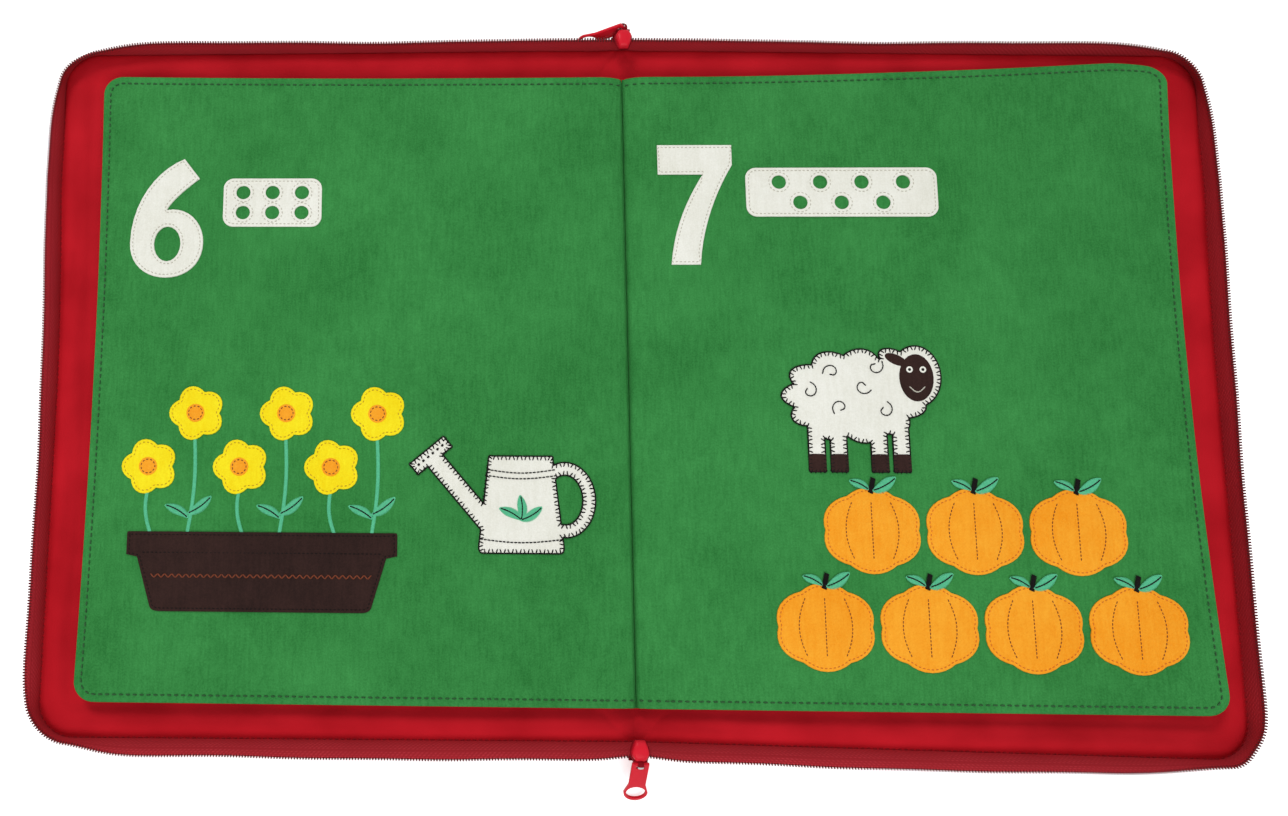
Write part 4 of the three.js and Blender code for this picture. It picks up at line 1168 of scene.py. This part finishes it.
def crown_mesh():
    """The crown: arches that follow its shares from its inner end to its outer end."""
    rings = []
    for place, width, height in CROWN_SHARES:
        y = SLIDER_INNER + CROWN_INSET + place * (SLIDER_OUTER - SLIDER_INNER - CROWN_SHORTER)
        ring = []
        for i in range(25):
            angle = math.pi * i / 24
            across = math.copysign(abs(math.cos(angle)) ** 0.55, math.cos(angle))
            ring.append((across * width * CROWN_HALF, y,
                         PLATE_HIGH - 0.2 * mm + height * CROWN_RISE * math.sin(angle) ** 0.5))
        rings.append(ring)
    return loft(rings)


def bail_mesh(lean, start=0, end=360, wear=0.0):
    """The loop or a worn arc of it: a round bar bent into a ring and wide along X, turned with its pull."""
    rings = []
    for i in range(33):
        angle = math.radians(start + (end - start) * i / 32)
        centre = (math.cos(angle), math.sin(angle))
        ring = []
        for k in range(12):
            turn = 2 * math.pi * k / 12
            radius = BAIL_RADIUS + (BAIL_BAR + wear) * math.cos(turn)
            ring.append(Vector(((BAIL_HALF + wear) * math.sin(turn), radius * centre[0], radius * centre[1])))
        rings.append(ring)
    mesh = loft(rings)
    mesh.transform(Matrix.Rotation(lean, 4, "Y"))
    mesh.transform(Matrix.Translation((0, BAIL_OUT, BAIL_UP)))
    return mesh


print("crown", round(CROWN_RISE / mm, 1), "mm high")

# %% [markdown]
# Both sliders are the same casting. Each is carried to its end of the spine, at the height of the
# teeth, and its loop is turned to the side that its pull swings to, which the frame's joint gives.

# %% Sliders
def slider(name, end, lean):
    """A slider at the head or the tail of the spine, with its loop leaning by an angle."""
    turned = Matrix.Rotation(0 if end > 0 else math.pi, 4, "Z")
    place = Matrix.Translation((0, end * COIL_LINE, COIL_HEIGHT)) @ turned
    # The parts in the darker enamel carry painted shade; they are painted the same red as the crown.
    parts = [
        (top_plate_mesh(), SHADED_ENAMEL),
        (rounded_block((-ROOT_HALF, SLIDER_OUTER - 0.6 * mm, PLATE_LOW + 0.2 * mm),
                       (ROOT_HALF, ROOT_OUTER, ROOT_TOP), 0.25 * mm), SHADED_ENAMEL),
        (rounded_block((-SLIDER_HALF, -0.2 * mm, -PLATE_HIGH), (SLIDER_HALF, SLIDER_OUTER, -PLATE_LOW),
                       0.35 * mm), SHADED_ENAMEL),
        (rounded_block((-NECK_HALF, 1.05 * mm, -PLATE_HIGH + 0.1 * mm),
                       (NECK_HALF, SLIDER_OUTER, PLATE_HIGH - 0.1 * mm), 0.3 * mm), SHADED_ENAMEL),
        (crown_mesh(), ENAMEL),
        (bail_mesh(lean), SHADED_ENAMEL),
        (bail_mesh(lean, *WORN_ARC, wear=WEAR), ZINC),
    ]
    for mesh, _ in parts:
        mesh.transform(place)
    made = joined(f"{name}_slider_dressed", *parts)
    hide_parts(f"{name}_slider")
    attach(made, f"{name}_slider_body")


joints = {joint["name"]: joint for joint in frame["joints"]}
upper_axis = joints["upper_pull"]["axis"]
upper_lean = math.atan2(-upper_axis[2], upper_axis[0])
slider("upper", 1, upper_lean)
slider("lower", -1, 0)
print("upper pull leans", round(math.degrees(upper_lean), 1), "degrees")

# %% [markdown]
# The pulls are pressed plates, already the right shape in CAD, so each is a copy of its node. The
# copy's triangles are merged back into flat faces, and its edges are rounded as enamel rounds them.

# %% Pulls
SHARP_ANGLE = math.radians(40)
PULL_EDGE = 0.28 * mm


def merged_copy(node_name):
    """A CAD node's mesh with its triangles joined into flat faces."""
    bm = bmesh.new()
    bm.from_mesh(frame["nodes"][node_name].data)
    bmesh.ops.remove_doubles(bm, verts=bm.verts, dist=0.005 * mm)
    bmesh.ops.dissolve_limit(bm, angle_limit=math.radians(1), verts=bm.verts, edges=bm.edges)
    return bm


for name in ("upper", "lower"):
    bm = merged_copy(f"{name}_pull")
    sharp = [e for e in bm.edges if len(e.link_faces) == 2 and e.calc_face_angle() > SHARP_ANGLE]
    rounded(bm, sharp, PULL_EDGE)
    made = piece(f"{name}_pull_dressed", finished(bm, "pull"), ENAMEL)
    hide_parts(f"{name}_pull")
    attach(made, f"{name}_pull_body")
print("two pulls")

# %% [markdown]
# The shapes on the open pages are cut felt, sewn down close to their edge. Each CAD node gives the
# outline, and the shape is lowered onto the rippled page. The outline of its top face, moved in by
# the stitches' inset, is the line that they follow.

# %% Outlines of felt shapes
APPLIQUE_TOP = PAGE_TOP + 0.75 * mm
LEVEL = 0.01 * mm


def settled(mesh, base, thickness):
    """Moves a flat felt shape onto the page: its underside on the felt, its top thickness above."""
    count = len(mesh.vertices)
    co = np.empty(count * 3)
    mesh.vertices.foreach_get("co", co)
    co = co.reshape(-1, 3)
    share = (co[:, 2] - applique_low.z) / (applique_high.z - applique_low.z)
    co[:, 2] = base + share * thickness + ripple(co[:, 0], co[:, 1])
    mesh.vertices.foreach_set("co", co.ravel())
    return mesh


def top_outlines(node_name):
    """The outlines of a CAD node's flat top, each with the felt on its left."""
    bm = merged_copy(node_name)
    top = max(v.co.z for v in bm.verts)
    # A list keeps the mesh's order, so that a row of stitches starts at the same point each run
    flat = [f for f in bm.faces if f.normal.z > 0.9 and abs(f.calc_center_median().z - top) < LEVEL]
    after = {}
    for face in flat:
        for loop in face.loops:
            if not any(other in flat for other in loop.edge.link_faces if other is not face):
                after[loop.vert.index] = loop.link_loop_next.vert.index
    bm.verts.ensure_lookup_table()
    outlines = []
    while after:
        start, line = next(iter(after)), []
        here = start
        while here in after:
            line.append(bm.verts[here].co.copy())
            here = after.pop(here)
        outlines.append(line)
    bm.free()
    return outlines


def laid(x, y, height):
    """A point at a height over the flat page, on the felt's slow waves."""
    return x, y, height + float(ripple(x, y))


def inset(line, distance, height):
    """A closed outline moved to its left, at a height above the page."""
    points = np.array([(p.x, p.y) for p in line])
    tangent = np.roll(points, -1, axis=0) - np.roll(points, 1, axis=0)
    tangent /= np.maximum(np.linalg.norm(tangent, axis=1)[:, None], 1e-9)
    moved = points + distance * np.stack([-tangent[:, 1], tangent[:, 0]], -1)
    return [laid(x, y, height) for x, y in moved]


print("felt shapes stand", round((APPLIQUE_TOP - PAGE_TOP) / mm, 2), "mm above the page")

# %% [markdown]
# Felt is cut with a soft upper edge. The can and the sheep are sewn with slanting stitches and a cord
# of thread along their outline, and the other shapes with a running stitch just inside their edge.

# %% Sewn felt shape
SOFT_EDGE = 0.3 * mm
SUNK = 0.05 * mm
RUNNING_STITCH = bar(1.2 * mm, 0.42 * mm)
RUNNING_PITCH = 1.9 * mm
EDGE_STITCH = bar(2.4 * mm, 0.6 * mm, arch=0.2)
CORD_STITCH = bar(1.6 * mm, 0.85 * mm, arch=0.1)


def felt_shape(node_name, leaf, felt_material, thread, style="running"):
    """A cut felt shape from its CAD node as one piece, sewn with a running stitch or a corded edge."""
    bm = merged_copy(node_name)
    top = max(v.co.z for v in bm.verts)
    rim = [e for e in bm.edges if len(e.link_faces) == 2 and e.calc_face_angle() > SHARP_ANGLE
           and all(abs(v.co.z - top) < LEVEL for v in e.verts)]
    rounded(bm, rim, SOFT_EDGE)
    bmesh.ops.triangulate(bm, faces=[f for f in bm.faces if len(f.verts) > 4])
    mesh = settled(finished(bm, node_name), PAGE_TOP - SUNK, APPLIQUE_TOP - PAGE_TOP)
    rows = {"running": ((RUNNING_STITCH, 1.4 * mm, SUNK, RUNNING_PITCH, 0.0, 0.0),),
            "edge": ((EDGE_STITCH, 0.7 * mm, 0, 1.8 * mm, math.pi / 2, math.radians(18)),
                     (CORD_STITCH, -0.1 * mm, 0.25 * mm, 1.2 * mm, 0.0, 0.0))}
    lines = top_outlines(node_name)
    parts = [(mesh, felt_material)]
    for stitch, inward, lower, pitch, lean, swing in rows[style]:
        row = [(inset(line, inward, APPLIQUE_TOP - lower), True) for line in lines]
        parts.append((stitched(row, stitch, thread, pitch, lean, swing), thread))
    made = joined(f"{node_name}_sewn", *parts)
    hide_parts(node_name)
    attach(made, f"leaf_{leaf}")
    return made


print("felt shapes get a soft edge of", round(SOFT_EDGE / mm, 2), "mm")

# %% [markdown]
# The numerals and the counting tiles are cream felt with small cream stitches just inside their cut
# edge. The CAD outlines are used as they are, so a tile keeps its counting holes.

# %% Numerals and counting tiles
for name, leaf in (("numeral_6", 3), ("tile_6", 3), ("numeral_7", 4), ("tile_7", 4)):
    felt_shape(name, leaf, CREAM_FELT, PALE_THREAD)
print("numerals and tiles")

# %% [markdown]
# Stems, leaves and the sprig on the can are satin embroidery: threads laid side by side across the
# shape, which catch the light as one smooth ridge. The stitch tree makes it, with each stitch
# reaching across the shape. The threads are drawn coarser than real ones, so that they show.

# %% Satin embroidery
SATIN_STITCH = bar(1.0 * mm, 0.5 * mm, arch=0.25)
SATIN_PITCH = 0.42 * mm
LINE_STITCH = bar(1.5 * mm, 0.6 * mm, arch=0.1)
LINE_PITCH = 1.2 * mm
EMBROIDERY_LIFT = 0.15 * mm
VEIN_LIFT = 0.4 * mm


def on_page(x, y):
    """A point of the embroidery, just above the page."""
    return laid(x, y, PAGE_TOP + EMBROIDERY_LIFT)


def satin_leaf(base, length, width, angle):
    """The midrib of a pointed leaf and how far each thread reaches across it, in millimetres."""
    share = np.linspace(0, 1, 12)
    turn = angle + 0.5 * (share - 0.5)
    x = base[0] + np.concatenate([[0], np.cumsum(np.cos(turn[1:])) * length / 11])
    y = base[1] + np.concatenate([[0], np.cumsum(np.sin(turn[1:])) * length / 11])
    reach = width / mm * np.sin(math.pi * np.clip(share * 0.94 + 0.03, 0, 1)) ** 0.8 + 0.5
    return [on_page(a, b) for a, b in zip(x, y)], False, reach


def satin_stem(points, width):
    """The line of a stem, which every thread crosses with the same reach."""
    return [on_page(x, y) for x, y in points], False, [width / mm] * len(points)


def embroidered(name, leaf, shapes, lift=0.0):
    """Satin shapes in mint thread, each leaf with a vein in black thread along its midrib."""
    raised = [([(x, y, z + lift) for x, y, z in line], closed, reach) for line, closed, reach in shapes]
    veins = [([(x, y, z + VEIN_LIFT) for x, y, z in line[1:-1]], False)
             for line, _, reach in raised if max(reach) > 1.5 * min(reach)]
    fill = stitched(raised, SATIN_STITCH, MINT_THREAD, SATIN_PITCH, lean=math.radians(68))
    made = joined(name, (fill, MINT_THREAD),
                  (stitched(veins, LINE_STITCH, BLACK_THREAD, LINE_PITCH), BLACK_THREAD))
    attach(made, f"leaf_{leaf}")


print("satin threads", round(SATIN_PITCH / mm, 2), "mm apart")

# %% [markdown]
# The left page counts six yellow flowers in a dark brown trough, with a cream watering can. Every other
# flower has two leaves at the foot of its stem. The trough has a straight black row of stitches below
# its rim, and a rust brown zigzag across its middle.

# %% Flowers, trough and watering can
RIM_DEPTH = 9.5 * mm
BAND_DEPTH = 20 * mm
STEM_WIDTH = 1.9 * mm
STEM_LEAN, STEM_BOW = 2 * mm, 1.5 * mm
petal_row = [f"flower_{i}" for i in range(1, 7)]


def middle_of(node_name):
    """The middle of a CAD node's box."""
    low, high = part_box(node_name)
    return (low + high) / 2


for name in petal_row:
    felt_shape(name, 3, YELLOW_FELT, GOLD_THREAD)
felt_shape("planter", 3, BROWN_FELT, BLACK_THREAD)
felt_shape("watering_can", 3, CREAM_FELT, BLACK_THREAD, style="edge")

planter_low, planter_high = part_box("planter")
shapes = []
for i, name in enumerate(petal_row):
    centre, low = middle_of(name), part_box(name)[0].y
    lean = 1 if i % 2 else -1
    foot = (centre.x - lean * STEM_LEAN, planter_high.y - 0.5 * mm)
    line = [(foot[0] + (centre.x - foot[0]) * s + lean * STEM_BOW * math.sin(math.pi * s),
             foot[1] + (low + 1.5 * mm - foot[1]) * s) for s in np.linspace(0, 1, 8)]
    shapes.append(satin_stem(line, STEM_WIDTH))
    if i % 2:
        shapes.append(satin_leaf((foot[0], foot[1] + 9 * mm), 13 * mm, 5 * mm, math.radians(35)))
        shapes.append(satin_leaf((foot[0], foot[1] + 7 * mm), 12 * mm, 4.6 * mm, math.radians(150)))
embroidered("stems_and_leaves", 3, shapes)


def trough_row(depth, stitch, thread, pitch, swing):
    """A row of stitches across the trough, at a depth below its rim, and its thread."""
    inside = 4 * mm + depth * 0.42
    xs = np.linspace(planter_low.x + inside, planter_high.x - inside, 40)
    line = [laid(x, planter_high.y - depth, APPLIQUE_TOP) for x in xs]
    return stitched([(line, False)], stitch, thread, pitch, swing=swing), thread


made = joined("trough_stitches",
              trough_row(RIM_DEPTH, RUNNING_STITCH, BLACK_THREAD, RUNNING_PITCH, 0.0),
              trough_row(BAND_DEPTH, EDGE_STITCH, RUST_THREAD, 1.6 * mm, math.radians(48)))
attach(made, "leaf_3")
print("embroidered shapes:", len(shapes))

# %% [markdown]
# Each flower has a round felt centre, sewn on with a ring of rust brown stitches. A disc is lofted
# from a few rings, so that its cut edge is soft, and the same function makes ovals and rounded squares.

# %% Flower centres
DISC_BASE = APPLIQUE_TOP - 0.1 * mm
DISC_THICKNESS = 0.4 * mm
CENTRE_RADIUS = 4.2 * mm
CENTRE_RING = 3.2 * mm


def felt_disc(centre, radius, height, thickness, sides=20, stretch=1.0, turn=0.0, roundness=1.0):
    """A small round or oval felt disc with a soft edge; less roundness makes it squarer."""
    rings = []
    for inward, drop in ((0, 1), (0, 0.35), (0.12, 0.1), (0.35, 0.0)):
        ring = []
        for i in range(sides):
            angle = 2 * math.pi * i / sides
            r = radius * (1 - inward)
            a = math.copysign(abs(math.cos(angle)) ** roundness, math.cos(angle)) * r * stretch
            b = math.copysign(abs(math.sin(angle)) ** roundness, math.sin(angle)) * r
            x = centre[0] + a * math.cos(turn) - b * math.sin(turn)
            y = centre[1] + a * math.sin(turn) + b * math.cos(turn)
            ring.append(laid(x, y, height + thickness * (1 - drop)))
        rings.append(ring)
    return loft(rings)


centres, ring_lines = [], []
for name in petal_row:
    c = middle_of(name)
    centres.append((felt_disc(c, CENTRE_RADIUS, DISC_BASE, DISC_THICKNESS), ORANGE_FELT))
    height = laid(c.x, c.y, DISC_BASE + DISC_THICKNESS)[2]
    ring_lines.append(([(c.x + CENTRE_RING * math.cos(a), c.y + CENTRE_RING * math.sin(a), height)
                        for a in np.linspace(0, 2 * math.pi, 16, endpoint=False)], True))
centres.append((stitched(ring_lines, RUNNING_STITCH, RUST_THREAD, RUNNING_PITCH), RUST_THREAD))
made = joined("flower_centres", *centres)
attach(made, "leaf_3")
print("flower centres:", len(ring_lines))

# %% [markdown]
# The watering can is drawn with black backstitch, a row of short bars end to end. Bands go round its
# body, a row of knots stands for the holes of its rose, and a green sprig is sewn on its side.

# %% Can details
KNOT = bar(1.3 * mm, 1.1 * mm, arch=0.1)
KNOT_PITCH = 2.8 * mm
DRAWN_LIFT = 0.1 * mm
CAN_HALF = (20 * mm, 22 * mm)
CAN_HANDLE_OUT = 13.6 * mm
CAN_ROSE_HALF = 10 * mm
KNOTS_HALF, KNOTS_INSET = 7 * mm, 2.8 * mm
SPOUT_ANGLE = math.radians(130)
# How high each band is on the can, and how wide.
BAND_SHARES = ((0.72, 0.74), (0.6, 0.78), (-0.72, 0.9))


def drawn(points, steps=6):
    """A line of thread on top of a felt shape, through a few points."""
    line = []
    for a, b in zip(points, points[1:]):
        for s in np.arange(steps) / steps:
            line.append((a[0] + (b[0] - a[0]) * s, a[1] + (b[1] - a[1]) * s))
    line.append(points[-1])
    return [laid(x, y, APPLIQUE_TOP + DRAWN_LIFT) for x, y in line], False


def curved(start, end, sag):
    """Points of a shallow curve between two points."""
    return [(start[0] + (end[0] - start[0]) * s,
             start[1] + (end[1] - start[1]) * s - sag * math.sin(math.pi * s)) for s in np.linspace(0, 1, 12)]


can_low, can_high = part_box("watering_can")
can = Vector((can_high.x - CAN_HANDLE_OUT - CAN_HALF[0], can_low.y + CAN_HALF[1]))
lines = []
for share, half_share in BAND_SHARES:
    half, y = CAN_HALF[0] * half_share, can.y + CAN_HALF[1] * share
    lines.append(drawn(curved((can.x - half, y), (can.x + half, y), 1.5 * mm), steps=2))
bands = stitched(lines, LINE_STITCH, BLACK_THREAD, 1.7 * mm)
across_rose = Vector((math.sin(SPOUT_ANGLE), -math.cos(SPOUT_ANGLE)))
tip = Vector((can_low.x + CAN_ROSE_HALF * across_rose.x, can_high.y - CAN_ROSE_HALF * across_rose.y))
middle = tip - KNOTS_INSET * Vector((math.cos(SPOUT_ANGLE), math.sin(SPOUT_ANGLE)))
knot_line = drawn([middle - across_rose * KNOTS_HALF, middle + across_rose * KNOTS_HALF])
knots = stitched([knot_line], KNOT, BLACK_THREAD, KNOT_PITCH)
made = joined("can_lines", (bands, BLACK_THREAD), (knots, BLACK_THREAD))
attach(made, "leaf_3")
sprig_lift = APPLIQUE_TOP - PAGE_TOP - 0.1 * mm
sprig = [satin_leaf((can.x, can.y - 7 * mm), 11 * mm, 4.6 * mm, math.radians(angle))
         for angle in (30, 90, 150)]
embroidered("can_sprig", 3, sprig, sprig_lift)
print("can from", [round(v / mm) for v in can_low[:2]], "to", [round(v / mm) for v in can_high[:2]])

# %% [markdown]
# The right page counts seven pumpkins below a sheep. A pumpkin has its ribs sewn in rust brown, a
# short dark stalk and a mint leaf. The sheep is edged in black thread, with a brown felt face.

# %% Pumpkins
RIB_SHARES = (-0.55, 0.0, 0.55)
RIB_PITCH = 1.6 * mm
STALK_REACH = 2.6
pumpkins = [f"pumpkin_{i}" for i in range(1, 8)]
ribs, leaves_sewn, stalks = [], [], []
for name in pumpkins:
    felt_shape(name, 4, ORANGE_FELT, AMBER_THREAD)
    low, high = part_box(name)
    centre, half = (low + high) / 2, (high - low) / 2
    for bow in RIB_SHARES:
        line = []
        for s in np.linspace(-0.62, 0.62, 13):
            x, y = centre.x + bow * half.x * math.cos(s * 1.15), centre.y + s * half.y
            line.append(laid(x, y, APPLIQUE_TOP))
        ribs.append((line, False))
    top = high.y - 2.5 * mm
    stalks.append(((centre.x, top), (centre.x + 1.5 * mm, top + 6.5 * mm)))
    leaves_sewn.append(satin_leaf((centre.x + 1 * mm, top + 1 * mm), 12 * mm, 5.5 * mm, math.radians(28)))
    leaves_sewn.append(satin_leaf((centre.x - 1 * mm, top + 1.5 * mm), 9 * mm, 4.2 * mm, math.radians(152)))
made = piece("pumpkin_ribs", stitched(ribs, RUNNING_STITCH, RUST_THREAD, RIB_PITCH), RUST_THREAD)
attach(made, "leaf_4")
embroidered("pumpkin_leaves", 4, leaves_sewn, sprig_lift)
stalk_lines = [([laid(x, y, APPLIQUE_TOP + DRAWN_LIFT) for x, y in
                 zip(np.linspace(a[0], b[0], 5), np.linspace(a[1], b[1], 5))], False, [STALK_REACH] * 5)
               for a, b in stalks]
mesh = stitched(stalk_lines, SATIN_STITCH, BLACK_THREAD, SATIN_PITCH, lean=math.radians(80))
made = piece("pumpkin_stalks", mesh, BLACK_THREAD)
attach(made, "leaf_4")
print("pumpkins:", len(pumpkins))

# %% [markdown]
# The sheep's fleece is one cream piece with a black blanket stitch round it. Its face, ear and hooves
# are brown felt laid on top, and the curls and the smile are short curved rows of stitches.

# %% Sheep
felt_shape("sheep", 4, CREAM_FELT, BLACK_THREAD, style="edge")
SHEEP_HALF = (33 * mm, 22 * mm)
HEAD_HALF = (11 * mm, 14 * mm)
LEG_SHARES = (-0.55, -0.25, 0.3, 0.6)
CURL_START, CURL_GROWTH = 1.2 * mm, 0.55 * mm
CURL_SHARES = ((-0.62, 0.1), (-0.3, 0.5), (-0.2, -0.25), (0.12, 0.2), (0.4, -0.3), (0.3, 0.62))
sheep_low, sheep_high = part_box("sheep")
head = Vector((sheep_high.x - HEAD_HALF[0], sheep_high.y - HEAD_HALF[1]))
fleece = head - Vector((0.86 * SHEEP_HALF[0], 0.42 * SHEEP_HALF[1]))
face = felt_disc(head - Vector((0, 0.8 * mm)), 11 * mm, DISC_BASE, DISC_THICKNESS, 32, stretch=0.7)
ear = head + Vector((-0.8 * HEAD_HALF[0], 0.55 * HEAD_HALF[1]))
flap = felt_disc(ear, 2.3 * mm, DISC_BASE, DISC_THICKNESS, stretch=2.3, turn=math.radians(-25))
parts = [(face, BROWN_FELT), (flap, BROWN_FELT)]
for side in (-1, 1):
    eye = head + Vector((side * 3 * mm, 3 * mm))
    parts.append((felt_disc(eye, 1.5 * mm, DISC_BASE + 0.35 * mm, 0.12 * mm, 14), CREAM_FELT))
    parts.append((felt_disc(eye, 0.7 * mm, DISC_BASE + 0.42 * mm, 0.15 * mm, 10), BLACK_THREAD))
for share in LEG_SHARES:
    hoof = (fleece.x + share * SHEEP_HALF[0], sheep_low.y + 3.9 * mm)
    parts.append((felt_disc(hoof, 4.1 * mm, DISC_BASE, DISC_THICKNESS, 28, stretch=0.96, roundness=0.3),
                  BROWN_FELT))
curls = []
for out, up in CURL_SHARES:
    centre = fleece + Vector((out * SHEEP_HALF[0], up * SHEEP_HALF[1]))
    spiral = []
    for t in np.linspace(0, 5.0, 14):
        radius, angle = CURL_START + CURL_GROWTH * t, t + 6 * out
        spiral.append((centre.x + radius * math.cos(angle), centre.y + radius * math.sin(angle)))
    curls.append(drawn(spiral, steps=2))
parts.append((stitched(curls, LINE_STITCH, BLACK_THREAD, LINE_PITCH), BLACK_THREAD))
nose = head - Vector((0, 6.5 * mm))
lips = curved((nose.x - 3 * mm, nose.y + 1 * mm), (nose.x + 3 * mm, nose.y + 1 * mm), 2 * mm)
smile = [([laid(x, y, DISC_BASE + 0.48 * mm) for x, y in lips], False)]
parts.append((stitched(smile, LINE_STITCH, PALE_THREAD, LINE_PITCH), PALE_THREAD))
made = joined("sheep_details", *parts)
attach(made, "leaf_4")
print("sheep from", [round(v / mm) for v in sheep_low[:2]], "to", [round(v / mm) for v in sheep_high[:2]])

# %% [markdown]
# The other pages are hidden while the book lies open at the middle, and show when leaves turn. Pages 1
# to 5 and 8 to 10 have a plain numeral in thin felt, and the last two are bare.

# %% Numerals on the hidden pages
NUMERAL_HEIGHT = 78 * mm
NUMERAL_THICKNESS = 0.4 * mm
NUMERAL_SPREAD = 0.9 * mm
NUMERAL_OUT, NUMERAL_UP = 205 * mm, 78 * mm


def numeral_mesh(text):
    """A number as a flat mesh, made from the plain built-in font and spread to look cut from felt."""
    letters = bpy.data.curves.new("numeral", "FONT")
    letters.body, letters.size = text, NUMERAL_HEIGHT
    letters.extrude, letters.offset = NUMERAL_THICKNESS / 2, NUMERAL_SPREAD
    letters.align_x, letters.align_y = "CENTER", "CENTER"
    holder = bpy.data.objects.new("numeral", letters)
    scene.collection.objects.link(holder)
    bpy.context.view_layer.update()
    mesh = bpy.data.meshes.new_from_object(holder.evaluated_get(bpy.context.evaluated_depsgraph_get()))
    bpy.data.objects.remove(holder)
    mesh.materials.clear()
    return mesh


for page in (1, 2, 3, 4, 5, 8, 9, 10):
    leaf = (page + 1) // 2
    side, _ = leaf_place(leaf)
    faces_up = (page % 2 == 0) == (side < 0)
    low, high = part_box(f"page_{page}_felt")
    mesh = numeral_mesh(str(page))
    x, y = side * NUMERAL_OUT, NUMERAL_UP
    if faces_up:
        place = Matrix.Translation((x, y, high.z + NUMERAL_THICKNESS / 2))
    else:
        place = Matrix.Translation((x, y, low.z - NUMERAL_THICKNESS / 2)) @ Matrix.Rotation(math.pi, 4, "Y")
    mesh.transform(place)
    made = piece(f"page_{page}_numeral", mesh, CREAM_FELT)
    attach(made, f"leaf_{leaf}")
print("hidden numerals: 8")

# %% [markdown]
# Last, the pieces of thread that the stitch tree copied are removed.

# %% Finish
for helper in [o for o in bpy.data.objects if o.name.startswith("bar")]:
    bpy.data.objects.remove(helper)
